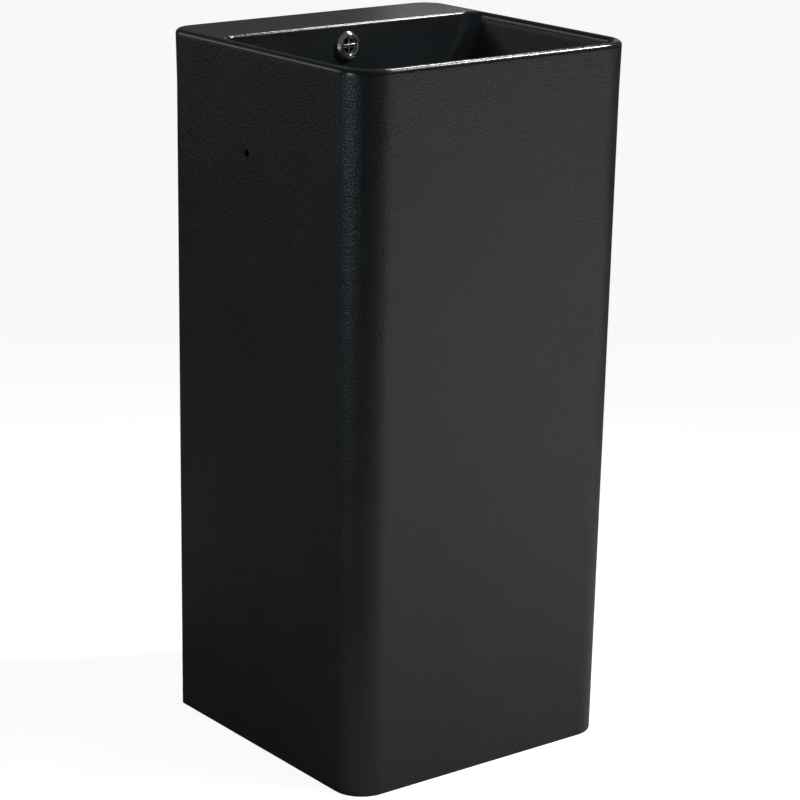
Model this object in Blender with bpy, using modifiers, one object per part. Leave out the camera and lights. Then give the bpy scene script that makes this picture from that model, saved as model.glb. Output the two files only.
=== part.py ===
"""One-piece ceramic column washbasin with its overflow ring, push-open waste and bottle trap.

Metres, +Z up, the front faces -Y and the back stands against a wall. The origin is on the floor,
under the middle of the rim. Every turned piece is a profile swept round its own axis.
"""
import bmesh
import bpy
from math import atan, cos, pi, radians, sin
from mathutils import Matrix, Vector

# ---- driving dimensions -------------------------------------------------------------------
GAP = 0.0003                    # kept between pieces that touch

HEIGHT = 0.850
RIM_SIZE = 0.390                # width and depth at the rim
FOOT_WIDTH = 0.375
FOOT_DEPTH = 0.3715
LIP_HEIGHT = 0.060              # the last stretch under the rim leans out a little more
LIP_WIDTH = 0.388
LIP_DEPTH = 0.3885
FRONT_RADIUS_FOOT = 0.038
FRONT_RADIUS_RIM = 0.044
BACK_RADIUS_FOOT = 0.006
BACK_RADIUS_RIM = 0.032
WALL = 0.012                    # ceramic thickness
RIM_ROUND = WALL / 2

BACK_Y = RIM_SIZE / 2           # plane of the wall behind the sink
DECK_DEPTH = 0.102              # tap deck, back plane to basin
DECK_ROUND = 0.004

BASIN_SIDE_SLOPE = 0.524        # inward run per unit of depth
BASIN_FRONT_SLOPE = 0.27
BASIN_BACK_SLOPE = 0.12
BASIN_WALL_END = 0.766          # height where the walls start to turn into the floor
BASIN_TURN = 0.027              # radius of that turn
BASIN_FLOOR = 0.7395            # height of the floor at its outer edge

DRAIN_Y = -0.045
DRAIN_HOLE_RADIUS = 0.023
DRAIN_SEAT_Z = 0.7340           # bottom of the recess for the waste flange
DRAIN_SEAT_RADIUS = 0.0330
DRAIN_BOSS_RADIUS = 0.042
DRAIN_BOSS_Z = 0.700

OVERFLOW_X = -0.0065            # cut a little off centre
OVERFLOW_Z = 0.8250
OVERFLOW_HOLE_RADIUS = 0.011
DUCT_RADIUS = 0.009
DUCT_WALL = 0.008
SIDE_HOLE_RADIUS = 0.004
SIDE_HOLE_Y = 0.028
SIDE_HOLE_Z = 0.7270

OPENING_WIDTH = 0.220           # service opening in the back, floor to OPENING_TOP
OPENING_TOP = 0.620
OPENING_RADIUS = 0.050

FLANGE_RADIUS = 0.0315          # waste
TAIL_RADIUS = 0.0210
TAIL_BORE = 0.0185
TAIL_END_Z = 0.6350
PLUG_TRAVEL = 0.008
PLUG_RADIUS = 0.0305

TUBE_RADIUS = 0.016             # trap pipes
TUBE_WALL = 0.0015
TRAP_COLLAR_TOP = 0.590
TRAP_SHOULDER_Z = 0.562
TRAP_RADIUS = 0.0295
TRAP_SKIRT_Z = 0.506
TRAP_OUTLET_Z = 0.5400
CUP_TOP_Z = 0.5185
CUP_BOTTOM_Z = 0.446

# ---- colours: base colour, roughness, metallic ---------------------------------------------
FINISHES = {
    "black_glaze": ((0.030, 0.031, 0.033), 0.42, 0.0),
    "chrome": ((0.78, 0.78, 0.80), 0.08, 1.0),
    "brass": ((0.72, 0.52, 0.24), 0.28, 1.0),
    "black_rubber": ((0.020, 0.020, 0.021), 0.75, 0.0),
    "white_plastic": ((0.80, 0.80, 0.78), 0.38, 0.0),
    "spring_steel": ((0.55, 0.55, 0.57), 0.25, 1.0),
}


# ---- scene helpers ---------------------------------------------------------------------------
def clear_scene():
    for old in list(bpy.data.objects):
        bpy.data.objects.remove(old, do_unlink=True)


def collection(name):
    made = bpy.data.collections.new(name)
    bpy.context.scene.collection.children.link(made)
    return made


def finish_material(finish):
    found = bpy.data.materials.get(finish)
    if found:
        return found
    colour, roughness, metallic = FINISHES[finish]
    made = bpy.data.materials.new(finish)
    made.use_nodes = True
    shader = made.node_tree.nodes["Principled BSDF"]
    shader.inputs["Base Color"].default_value = (*colour, 1.0)
    shader.inputs["Roughness"].default_value = roughness
    shader.inputs["Metallic"].default_value = metallic
    return made


def add_part(name, mesh, finish, place=(0.0, 0.0, 0.0), sharp=35):
    mesh.shade_smooth()
    mesh.set_sharp_from_angle(angle=radians(sharp))
    mesh.materials.append(finish_material(finish))
    part = bpy.data.objects.new(name, mesh)
    part.location = place
    parts.objects.link(part)
    return part


def add_cutter(name, mesh, place=(0.0, 0.0, 0.0)):
    cutter = bpy.data.objects.new(name, mesh)
    cutter.location = place
    cutter.display_type = "WIRE"
    cutter.hide_render = True
    cutters.objects.link(cutter)
    return cutter


def boolean(part, other, operation="DIFFERENCE"):
    step = part.modifiers.new(f"{operation.lower()}_{other.name}", "BOOLEAN")
    step.operation = operation
    step.object = other
    return step


def turn_about(part, axis, angle):
    part.rotation_euler["XYZ".index(axis)] = angle


# ---- shapes ------------------------------------------------------------------------------------
def lofted(rings):
    """Closed skin through rings of points, lowest ring first, each ring counter-clockwise from above."""
    shape = bmesh.new()
    levels = [[shape.verts.new(point) for point in ring] for ring in rings]
    count = len(rings[0])
    for low, high in zip(levels, levels[1:]):
        for i in range(count):
            j = (i + 1) % count
            shape.faces.new((low[i], low[j], high[j], high[i]))
    shape.faces.new(list(reversed(levels[0])))
    shape.faces.new(levels[-1])
    mesh = bpy.data.meshes.new("loft")
    shape.to_mesh(mesh)
    shape.free()
    return mesh


def turned(profile, steps):
    """Solid of revolution about Z. The profile of (radius, height) runs down its outer side; one that
    meets the axis starts and ends there."""
    closed = min(radius for radius, _ in profile) > 0
    shape = bmesh.new()
    points = [shape.verts.new((radius, 0.0, height)) for radius, height in profile]
    for first, second in zip(points, points[1:]):
        shape.edges.new((first, second))
    if closed:
        shape.edges.new((points[-1], points[0]))
    mesh = bpy.data.meshes.new("profile")
    shape.to_mesh(mesh)
    shape.free()
    sketch = bpy.data.objects.new("profile", mesh)
    bpy.context.scene.collection.objects.link(sketch)
    screw = sketch.modifiers.new("screw", "SCREW")
    screw.steps = steps
    screw.render_steps = steps
    screw.use_merge_vertices = True
    screw.merge_threshold = 0.00001
    return baked(sketch)


def baked(sketch):
    """Mesh of an object with its modifiers and its place applied; the object goes."""
    bpy.context.view_layer.update()
    graph = bpy.context.evaluated_depsgraph_get()
    mesh = bpy.data.meshes.new_from_object(sketch.evaluated_get(graph))
    mesh.transform(sketch.matrix_world)
    bpy.data.objects.remove(sketch, do_unlink=True)
    return mesh


def bent_tube(points, radius, sides_resolution=2):
    """Round bar along a path, its two caps welded on."""
    curve = bpy.data.curves.new("path", "CURVE")
    curve.dimensions = "3D"
    curve.bevel_depth = radius
    curve.bevel_resolution = sides_resolution
    curve.use_fill_caps = True
    run = curve.splines.new("POLY")
    run.points.add(len(points) - 1)
    for knot, place in zip(run.points, points):
        knot.co = (*place, 1.0)
    sketch = bpy.data.objects.new("path", curve)
    bpy.context.scene.collection.objects.link(sketch)
    mesh = baked(sketch)
    shape = bmesh.new()
    shape.from_mesh(mesh)
    bmesh.ops.remove_doubles(shape, verts=shape.verts, dist=0.000001)
    shape.to_mesh(mesh)
    shape.free()
    return mesh


def round_bar(radius, start, end, steps=24):
    """Cylinder between two points."""
    start = Vector(start)
    run = Vector(end) - start
    shape = bmesh.new()
    bmesh.ops.create_cone(shape, cap_ends=True, segments=steps, radius1=radius, radius2=radius,
                          depth=run.length)
    turn = run.to_track_quat("Z", "Y").to_matrix().to_4x4()
    shape.transform(Matrix.Translation(start + run / 2) @ turn)
    mesh = bpy.data.meshes.new("bar")
    shape.to_mesh(mesh)
    shape.free()
    return mesh


def block(low, high):
    """Box between two corners."""
    shape = bmesh.new()
    bmesh.ops.create_cube(shape, size=1.0)
    size = Vector(high) - Vector(low)
    middle = (Vector(high) + Vector(low)) / 2
    shape.transform(Matrix.Translation(middle) @ Matrix.Diagonal((*size, 1.0)))
    mesh = bpy.data.meshes.new("block")
    shape.to_mesh(mesh)
    shape.free()
    return mesh


def rounded_ring(half_width, front, back, front_radius, back_radius, z, arc_steps=8):
    """Rounded rectangle at one height: front and back are Y, arcs counter-clockwise from above."""
    corners = (
        (half_width - front_radius, front + front_radius, front_radius, -pi / 2),
        (half_width - back_radius, back - back_radius, back_radius, 0.0),
        (-half_width + back_radius, back - back_radius, back_radius, pi / 2),
        (-half_width + front_radius, front + front_radius, front_radius, pi),
    )
    ring = []
    for x, y, radius, start in corners:
        for i in range(arc_steps + 1):
            angle = start + i * pi / 2 / arc_steps
            ring.append((x + radius * cos(angle), y + radius * sin(angle), z))
    return ring


def blended(low, high, share):
    return low + (high - low) * share


# ---- ceramic body --------------------------------------------------------------------------------
def skin_at(z):
    """Width, depth and corner radii of the outer skin at a height."""
    lip_start = HEIGHT - LIP_HEIGHT
    if z <= lip_start:
        share = z / lip_start
        width = blended(FOOT_WIDTH, LIP_WIDTH, share)
        depth = blended(FOOT_DEPTH, LIP_DEPTH, share)
    else:
        share = min((z - lip_start) / (LIP_HEIGHT - RIM_ROUND), 1.0)
        width = blended(LIP_WIDTH, RIM_SIZE, share)
        depth = blended(LIP_DEPTH, RIM_SIZE, share)
    share = min(z / lip_start, 1.0)
    front_radius = blended(FRONT_RADIUS_FOOT, FRONT_RADIUS_RIM, share)
    back_radius = blended(BACK_RADIUS_FOOT, BACK_RADIUS_RIM, share)
    return width, depth, front_radius, back_radius


def skin_ring(z, inset, height_now=None, back_inset=None):
    width, depth, front_radius, back_radius = skin_at(max(z, 0.0))
    back_inset = inset if back_inset is None else back_inset
    return rounded_ring(
        width / 2 - inset, BACK_Y - depth + inset, BACK_Y - back_inset,
        front_radius - inset, max(back_radius - inset, 0.003),
        z if height_now is None else height_now)


def outer_skin():
    foot_chamfer = 0.0015
    rings = [skin_ring(0.0, foot_chamfer), skin_ring(foot_chamfer, 0.0)]
    rings.append(skin_ring(HEIGHT - LIP_HEIGHT, 0.0))
    for i in range(5):
        angle = i * pi / 2 / 4
        inset = RIM_ROUND * (1 - cos(angle))
        rings.append(skin_ring(HEIGHT - RIM_ROUND, inset, HEIGHT - RIM_ROUND * (1 - sin(angle))))
    return lofted(rings)


def basin_ring(z, out, back_out, floor_turn=0.0):
    """Basin outline at a height, moved out by a distance; floor_turn draws it in all round."""
    down = max(HEIGHT - RIM_ROUND - z, 0.0)
    half = RIM_SIZE / 2 - WALL - down * BASIN_SIDE_SLOPE + out - floor_turn
    front = -RIM_SIZE / 2 + WALL + down * BASIN_FRONT_SLOPE - out + floor_turn
    back = BACK_Y - DECK_DEPTH - down * BASIN_BACK_SLOPE + back_out - floor_turn
    return half, front, back


def basin_rings(offset):
    """Rings of the basin from the drain up; offset 0 is the glazed inside, WALL its hidden side."""
    rings = []
    seat_radius = DRAIN_SEAT_RADIUS
    drop = offset
    top_ring = rounded_ring(seat_radius, DRAIN_Y - seat_radius, DRAIN_Y + seat_radius,
                            seat_radius - 0.0001, seat_radius - 0.0001, 0.7365 - drop)
    rings.append(top_ring)
    turns = 5
    for i in range(turns + 1):
        angle = i * pi / 2 / turns
        turn = BASIN_TURN * (1 - sin(angle))
        z = BASIN_WALL_END - (BASIN_WALL_END - BASIN_FLOOR) * cos(angle) - drop * cos(angle)
        half, front, back = basin_ring(BASIN_WALL_END, offset, offset, turn)
        rings.append(rounded_ring(half, front, back, 0.045 + offset, 0.030 + offset, z))
    half, front, back = basin_ring(0.805, offset, offset)
    rings.append(rounded_ring(half, front, back, 0.038 + offset, 0.024 + offset, 0.805))
    for i in range(5):
        angle = (4 - i) * pi / 2 / 4
        out = RIM_ROUND * (1 - sin(angle))
        back_out = DECK_ROUND * (1 - sin(angle))
        z = HEIGHT - RIM_ROUND * (1 - cos(angle))
        half, front, back = basin_ring(z, out + offset, back_out + offset)
        rings.append(rounded_ring(half, front, back, 0.032 + out + offset, 0.018 + back_out + offset, z))
    half, front, back = basin_ring(HEIGHT, RIM_ROUND + offset, DECK_ROUND + offset)
    top = 0.012
    rings.append(rounded_ring(half, front, back, 0.032 + RIM_ROUND + offset,
                              0.018 + DECK_ROUND + offset, HEIGHT + top))
    return rings


def duct_path():
    """Overflow duct: back from the hole, down behind the basin and forward to the drain."""
    back = basin_ring(OVERFLOW_Z, 0.0, 0.0)[2]
    return [
        (OVERFLOW_X, back + 0.010, OVERFLOW_Z),
        (OVERFLOW_X, back + 0.028, OVERFLOW_Z - 0.002),
        (OVERFLOW_X, back + 0.018, 0.760),
        (OVERFLOW_X / 2, back - 0.002, 0.724),
        (0.0, DRAIN_Y + 0.004, 0.7175),
    ]


def column_void():
    """Space inside the column: the skin set in by the wall, without the basin's underside and duct."""
    rings = [skin_ring(z, WALL) for z in (0.0, HEIGHT - LIP_HEIGHT, HEIGHT - WALL)]
    below = 0.010
    rings.insert(0, [(x, y, -below) for x, y, _ in rings[0]])
    void = add_cutter("column_void", lofted(rings))
    boolean(void, add_cutter("basin_underside", lofted(basin_rings(WALL))))
    boss = round_bar(DRAIN_BOSS_RADIUS, (0.0, DRAIN_Y, DRAIN_BOSS_Z), (0.0, DRAIN_Y, 0.745), 32)
    boolean(void, add_cutter("drain_boss", boss))
    duct = duct_path()
    duct[0] = (OVERFLOW_X, duct[0][1] - 0.006, duct[0][2])
    boolean(void, add_cutter("duct_casing", bent_tube(duct, DUCT_RADIUS + DUCT_WALL)))
    return void


def service_opening():
    """Arched way in through the back wall, open at the floor."""
    half = OPENING_WIDTH / 2
    radius = OPENING_RADIUS
    below = 0.020
    outline = [(-half, -below), (half, -below)]
    for side, start in ((1, 0.0), (-1, pi / 2)):
        for i in range(7):
            angle = start + i * pi / 2 / 6
            outline.append((side * (half - radius) + radius * cos(angle),
                            OPENING_TOP - radius + radius * sin(angle)))
    front = BACK_Y - WALL - 0.010
    back = BACK_Y + 0.010
    return lofted([[(x, y, z) for x, z in outline] for y in (back, front)])


def ceramic_body():
    body = add_part("ceramic_body", outer_skin(), "black_glaze", sharp=40)
    boolean(body, column_void())
    boolean(body, add_cutter("basin", lofted(basin_rings(0.0))))
    boolean(body, add_cutter("service_opening", service_opening()))
    seat = round_bar(DRAIN_SEAT_RADIUS, (0.0, DRAIN_Y, DRAIN_SEAT_Z), (0.0, DRAIN_Y, 0.745), 32)
    boolean(body, add_cutter("drain_seat", seat))
    bore = round_bar(DRAIN_HOLE_RADIUS, (0.0, DRAIN_Y, DRAIN_BOSS_Z - 0.01), (0.0, DRAIN_Y, 0.75), 32)
    boolean(body, add_cutter("drain_bore", bore))
    boolean(body, add_cutter("overflow_duct", bent_tube(duct_path(), DUCT_RADIUS)))
    hole = round_bar(OVERFLOW_HOLE_RADIUS, on_overflow_axis(-0.010), on_overflow_axis(0.014), 20)
    boolean(body, add_cutter("overflow_hole", hole))
    side = RIM_SIZE / 2
    vent = round_bar(SIDE_HOLE_RADIUS, (-side - 0.005, SIDE_HOLE_Y, SIDE_HOLE_Z),
                     (-side + 0.024, SIDE_HOLE_Y, SIDE_HOLE_Z), 12)
    boolean(body, add_cutter("side_hole", vent))


# ---- overflow ------------------------------------------------------------------------------------
def overflow_tilt():
    """Lean of the basin's back wall from the vertical."""
    return atan(BASIN_BACK_SLOPE)


def on_overflow_axis(depth):
    """Point on the overflow hole's axis, depth measured into the back wall."""
    tilt = overflow_tilt()
    back = basin_ring(OVERFLOW_Z, 0.0, 0.0)[2]
    return (OVERFLOW_X, back + depth * cos(tilt), OVERFLOW_Z - depth * sin(tilt))


def stand_on_back_wall(part):
    """The piece's +Z becomes the outward normal of the basin's back wall."""
    part.location = on_overflow_axis(0.0)
    turn_about(part, "X", pi / 2 - overflow_tilt())


def overflow_fittings():
    flange = 0.0165
    bore = 0.0098
    tail = 0.0094
    proud = 0.0055
    profile = [
        (bore + 0.0014, proud), (bore + 0.0030, proud), (bore + 0.0044, proud - 0.0011),
        (flange - 0.0008, 0.0020), (flange, 0.0011), (flange, GAP),
        (tail, GAP), (tail, -0.0100), (tail - 0.0010, -0.0100),
        (tail - 0.0010, 0.0004), (bore, 0.0004), (bore, proud - 0.0014)]
    ring = add_part("overflow_ring", turned(profile, 28), "chrome")
    stand_on_back_wall(ring)
    reach = bore + 0.0008
    for name, half_across, half_up, low, high in (
            ("cross_level", reach, 0.0017, 0.0008, 0.0036),
            ("cross_upright", 0.0014, reach, 0.0006, 0.0028)):
        spoke = add_cutter(name, block((-half_across, -half_up, low), (half_across, half_up, high)))
        stand_on_back_wall(spoke)
        boolean(ring, spoke, "UNION")
    outer = OVERFLOW_HOLE_RADIUS - GAP
    inner = tail + GAP
    sleeve = add_part("overflow_sleeve", turned(
        [(outer, -0.0008), (outer, -0.0090), (inner, -0.0090), (inner, -0.0008)], 20), "black_rubber")
    stand_on_back_wall(sleeve)


# ---- waste ---------------------------------------------------------------------------------------
def ring_profile(outer, inner, top, bottom, chamfer=0.0):
    if not chamfer:
        return [(outer, top), (outer, bottom), (inner, bottom), (inner, top)]
    return [(outer - chamfer, top), (outer, top - chamfer), (outer, bottom + chamfer),
            (outer - chamfer, bottom), (inner, bottom), (inner, top)]


def on_drain(name, profile, finish, steps=28):
    return add_part(name, turned(profile, steps), finish, (0.0, DRAIN_Y, 0.0))


def hex_nut(name, across_flats, bore, top, bottom, finish, place_y=DRAIN_Y):
    """Six-sided nut with a round bore, axis up."""
    shape = bmesh.new()
    radius = across_flats / 2 / cos(pi / 6)
    bmesh.ops.create_cone(shape, cap_ends=True, segments=6, radius1=radius, radius2=radius,
                          depth=top - bottom)
    mesh = bpy.data.meshes.new("nut")
    shape.to_mesh(mesh)
    shape.free()
    nut = add_part(name, mesh, finish, (0.0, place_y, (top + bottom) / 2))
    hole = round_bar(bore, (0.0, place_y, bottom - 0.005), (0.0, place_y, top + 0.005), 28)
    boolean(nut, add_cutter(name + "_bore", hole))
    return nut


def waste():
    flange_under = DRAIN_SEAT_Z + 0.0015 + 2 * GAP
    flange_top = flange_under + 0.0026
    body = on_drain("waste_body", [
        (FLANGE_RADIUS - 0.0012, flange_top), (FLANGE_RADIUS, flange_top - 0.0012),
        (FLANGE_RADIUS, flange_under), (TAIL_RADIUS, flange_under), (TAIL_RADIUS, TAIL_END_Z),
        (TAIL_BORE, TAIL_END_Z), (TAIL_BORE, flange_under - 0.001), (TAIL_BORE + 0.004, flange_top)],
        "chrome")
    web_z = 0.6860
    web = block((-TAIL_BORE - 0.001, DRAIN_Y - 0.002, web_z - 0.004),
                (TAIL_BORE + 0.001, DRAIN_Y + 0.002, web_z))
    boolean(body, add_cutter("waste_web", web), "UNION")
    seat = round_bar(0.0050, (0.0, DRAIN_Y, web_z - 0.006), (0.0, DRAIN_Y, web_z), 16)
    boolean(body, add_cutter("waste_web_hub", seat), "UNION")
    slot_low = 0.7090
    slot_high = 0.7260
    slot = 0.0065
    through = TAIL_RADIUS + 0.004
    boolean(body, add_cutter("overflow_slots", block(
        (-slot, DRAIN_Y - through, slot_low), (slot, DRAIN_Y + through, slot_high))))

    on_drain("waste_top_gasket", ring_profile(
        FLANGE_RADIUS - 0.001, TAIL_RADIUS + GAP, DRAIN_SEAT_Z + 0.0015 + GAP, DRAIN_SEAT_Z + GAP),
        "black_rubber", 24)
    top = DRAIN_BOSS_Z - GAP
    collar = DRAIN_HOLE_RADIUS + 0.010
    on_drain("waste_lower_gasket", [
        (collar, top), (collar - 0.003, top - 0.007), (TAIL_RADIUS + GAP, top - 0.007),
        (TAIL_RADIUS + GAP, top)], "black_rubber", 24)
    top -= 0.007 + GAP
    on_drain("waste_thrust_washer", ring_profile(
        collar, TAIL_RADIUS + GAP, top, top - 0.0015), "white_plastic", 24)
    top -= 0.0015 + GAP
    hex_nut("waste_backnut", 0.055, TAIL_RADIUS + GAP, top, top - 0.010, "brass")
    return flange_top, web_z


def plug(flange_top, web_z):
    cartridge_radius = 0.0080
    cartridge_top = flange_top - 0.0125
    stem_radius = 0.0035
    base = web_z + GAP
    inside = cartridge_radius - 0.0015
    on_drain("plug_cartridge", [
        (0.0, base + 0.004), (inside, base + 0.004), (inside, cartridge_top - 0.004),
        (stem_radius + 0.0006, cartridge_top - 0.004), (stem_radius + 0.0006, cartridge_top),
        (cartridge_radius - 0.0008, cartridge_top), (cartridge_radius, cartridge_top - 0.0008),
        (cartridge_radius, base), (0.0, base)], "brass", 20)
    cap_under = flange_top + PLUG_TRAVEL + 0.0006
    cap_top = cap_under + 0.0062
    piston_low = base + 0.004 + PLUG_TRAVEL + 0.0100
    piston_high = piston_low + 0.003
    piston = inside - 0.0004
    on_drain("plug_stem", [
        (0.0, cap_under - GAP), (stem_radius, cap_under - GAP), (stem_radius, piston_high),
        (piston, piston_high), (piston, piston_low), (0.0, piston_low)], "brass", 16)
    on_drain("plug_cap", [
        (0.0, cap_top), (PLUG_RADIUS * 0.55, cap_top - 0.0006), (PLUG_RADIUS * 0.85, cap_top - 0.0019),
        (PLUG_RADIUS - 0.0008, cap_top - 0.0034), (PLUG_RADIUS, cap_top - 0.0046),
        (PLUG_RADIUS, cap_under + 0.0006), (PLUG_RADIUS - 0.0006, cap_under), (0.0, cap_under)],
        "chrome", 32)
    seal_inner = stem_radius + 0.009
    on_drain("plug_seal", [
        (0.0190, cap_under - GAP), (0.0178, cap_under - 0.0030), (seal_inner, cap_under - 0.0030),
        (seal_inner, cap_under - GAP)], "black_rubber", 24)
    coil(base + 0.004 + GAP, piston_low - GAP)
    return piston_low


def coil(bottom, top):
    """Compression spring under the stem's piston."""
    wire = 0.0005
    radius = 0.0046
    turns = 4.0
    per_turn = 10
    count = int(turns * per_turn)
    low = bottom + wire
    rise = top - wire - low
    points = []
    for i in range(count + 1):
        angle = 2 * pi * turns * i / count
        points.append((radius * cos(angle), radius * sin(angle), low + rise * i / count))
    add_part("plug_spring", bent_tube(points, wire, 1), "spring_steel", (0.0, DRAIN_Y, 0.0), 60)


# ---- trap ----------------------------------------------------------------------------------------
def trap_inlet():
    top = TAIL_END_Z - GAP
    flange = 0.0205
    on_drain("trap_union_washer", ring_profile(flange, TUBE_RADIUS, top, top - 0.002),
             "black_rubber", 24)
    tube_top = top - 0.002 - GAP
    bore = TUBE_RADIUS - TUBE_WALL
    on_drain("trap_inlet_tube", [
        (flange, tube_top), (flange, tube_top - 0.002), (TUBE_RADIUS, tube_top - 0.002),
        (TUBE_RADIUS, 0.530), (bore, 0.530), (bore, tube_top)], "white_plastic", 24)
    nut_low = tube_top - 0.002 - GAP - 0.0025
    nut_high = TAIL_END_Z + 0.012
    nut = 0.0255
    shoulder = nut_low + 0.0025
    on_drain("trap_union_nut", [
        (nut - 0.001, nut_high), (nut, nut_high - 0.001), (nut, nut_low + 0.001), (nut - 0.001, nut_low),
        (TUBE_RADIUS + GAP, nut_low), (TUBE_RADIUS + GAP, shoulder), (TAIL_RADIUS + GAP, shoulder),
        (TAIL_RADIUS + GAP, nut_high)], "white_plastic", 24)


def compression_joint(prefix, face, place, lay_down):
    """Cone washer and nut that hold a pipe in a threaded mouth; the mouth's face is at height face."""
    pipe = TUBE_RADIUS + GAP
    mouth = 0.0205
    nut = 0.0250
    cone = turned([(0.0195, face + 0.004), (0.0195, face + GAP), (pipe, face + GAP),
                   (pipe, face + 0.004)], 24)
    low = face - 0.012
    high = face + 0.0075
    shoulder = face + 0.0043
    nut_mesh = turned([
        (nut - 0.001, high), (nut, high - 0.001), (nut, low), (mouth + GAP, low), (mouth + GAP, shoulder),
        (pipe, shoulder), (pipe, high)], 24)
    for part in (add_part(prefix + "_cone", cone, "black_rubber", place),
                 add_part(prefix + "_nut", nut_mesh, "white_plastic", place)):
        if lay_down:
            turn_about(part, "X", -pi / 2)
    return mouth


def trap_body():
    mouth = 0.0205
    sleeve_bore = TUBE_RADIUS + GAP
    sleeve = 0.0185
    wall = 0.0025
    inside = TRAP_RADIUS - wall
    sleeve_end = 0.4800
    body = on_drain("trap_body", [
        (mouth, TRAP_COLLAR_TOP), (mouth, TRAP_SHOULDER_Z + 0.004), (TRAP_RADIUS - 0.004, TRAP_SHOULDER_Z),
        (TRAP_RADIUS, TRAP_SHOULDER_Z - 0.004), (TRAP_RADIUS, TRAP_SKIRT_Z), (inside, TRAP_SKIRT_Z),
        (inside, TRAP_SHOULDER_Z - 0.005), (sleeve, TRAP_SHOULDER_Z - 0.003), (sleeve, sleeve_end),
        (sleeve_bore, sleeve_end), (sleeve_bore, TRAP_COLLAR_TOP)], "white_plastic")
    boolean(body, add_cutter("outlet_mouth", round_bar(
        mouth, (0.0, DRAIN_Y + TRAP_RADIUS - 0.006, TRAP_OUTLET_Z),
        (0.0, outlet_face(), TRAP_OUTLET_Z), 24)), "UNION")
    boolean(body, add_cutter("outlet_bore", round_bar(
        TUBE_RADIUS + GAP, (0.0, DRAIN_Y + sleeve + 0.003, TRAP_OUTLET_Z),
        (0.0, outlet_face() + 0.010, TRAP_OUTLET_Z), 24)))


def outlet_face():
    return DRAIN_Y + 0.046


def trap_outlet():
    end = BACK_Y - 0.0005
    start = outlet_face() - 0.014
    bore = TUBE_RADIUS - TUBE_WALL
    pipe = add_part("trap_outlet_pipe", turned(ring_profile(
        TUBE_RADIUS, bore, end - start, 0.0), 24), "white_plastic", (0.0, start, TRAP_OUTLET_Z))
    turn_about(pipe, "X", -pi / 2)
    compression_joint("trap_outlet", 0.0, (0.0, outlet_face(), TRAP_OUTLET_Z), True)
    rosette = 0.0375
    rise = 0.010
    collar = TUBE_RADIUS + 0.003
    cover = add_part("wall_rosette", turned([
        (collar, rise), (collar + 0.004, rise * 0.75), (rosette - 0.006, rise * 0.45), (rosette, 0.0012),
        (rosette, 0.0), (TUBE_RADIUS + GAP, 0.0), (TUBE_RADIUS + GAP, rise)], 28), "white_plastic",
        (0.0, end, TRAP_OUTLET_Z))
    turn_about(cover, "X", pi / 2)


def trap_cup():
    inside = TRAP_RADIUS + 0.0006
    outside = inside + 0.0030
    seat = TRAP_SKIRT_Z - 0.003 - 2 * GAP
    well = TRAP_RADIUS - 0.0030
    floor = CUP_BOTTOM_Z + 0.003
    on_drain("trap_cup", [
        (0.0, floor), (well - 0.006, floor), (well, CUP_BOTTOM_Z + 0.009), (well, seat),
        (inside, seat), (inside, CUP_TOP_Z), (outside, CUP_TOP_Z), (outside, seat - 0.004),
        (well + 0.003, seat - 0.007), (well + 0.003, CUP_BOTTOM_Z + 0.008),
        (well - 0.005, CUP_BOTTOM_Z), (0.0, CUP_BOTTOM_Z)], "white_plastic")
    on_drain("trap_cup_seal", ring_profile(
        TRAP_RADIUS - GAP, well + 0.0004, TRAP_SKIRT_Z - GAP, seat + GAP), "black_rubber")


# ---- the object ------------------------------------------------------------------------------------
def build():
    ceramic_body()
    overflow_fittings()
    flange_top, web_z = waste()
    plug(flange_top, web_z)
    trap_inlet()
    compression_joint("trap_inlet", TRAP_COLLAR_TOP, (0.0, DRAIN_Y, 0.0), False)
    trap_body()
    trap_outlet()
    trap_cup()


clear_scene()
parts = collection("pedestal_sink")
cutters = collection("cutters")
build()
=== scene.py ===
from math import atan, cos, pi, radians, sin

import bpy
import numpy as np
from mathutils import Euler, Matrix, Vector


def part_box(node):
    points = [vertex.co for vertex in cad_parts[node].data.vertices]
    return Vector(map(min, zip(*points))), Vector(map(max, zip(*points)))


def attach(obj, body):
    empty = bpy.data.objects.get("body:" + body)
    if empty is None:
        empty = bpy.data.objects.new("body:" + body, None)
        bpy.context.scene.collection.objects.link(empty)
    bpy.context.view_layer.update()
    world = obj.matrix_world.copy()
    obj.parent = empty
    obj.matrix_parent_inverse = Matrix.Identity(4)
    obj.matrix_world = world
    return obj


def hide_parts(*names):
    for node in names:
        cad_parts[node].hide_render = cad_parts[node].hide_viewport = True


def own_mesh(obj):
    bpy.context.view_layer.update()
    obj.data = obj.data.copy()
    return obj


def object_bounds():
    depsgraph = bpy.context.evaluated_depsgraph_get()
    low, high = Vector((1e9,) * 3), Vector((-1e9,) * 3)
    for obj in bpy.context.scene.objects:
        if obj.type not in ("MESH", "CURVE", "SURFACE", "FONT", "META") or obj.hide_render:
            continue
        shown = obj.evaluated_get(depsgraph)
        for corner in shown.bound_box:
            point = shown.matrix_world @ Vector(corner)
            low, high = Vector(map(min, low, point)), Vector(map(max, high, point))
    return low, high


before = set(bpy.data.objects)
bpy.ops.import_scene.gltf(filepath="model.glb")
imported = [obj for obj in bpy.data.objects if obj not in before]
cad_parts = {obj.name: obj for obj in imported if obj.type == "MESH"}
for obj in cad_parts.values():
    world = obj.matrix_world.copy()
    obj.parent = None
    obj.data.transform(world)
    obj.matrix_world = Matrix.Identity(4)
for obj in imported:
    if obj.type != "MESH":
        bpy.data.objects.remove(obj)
cadLow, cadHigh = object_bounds()


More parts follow.
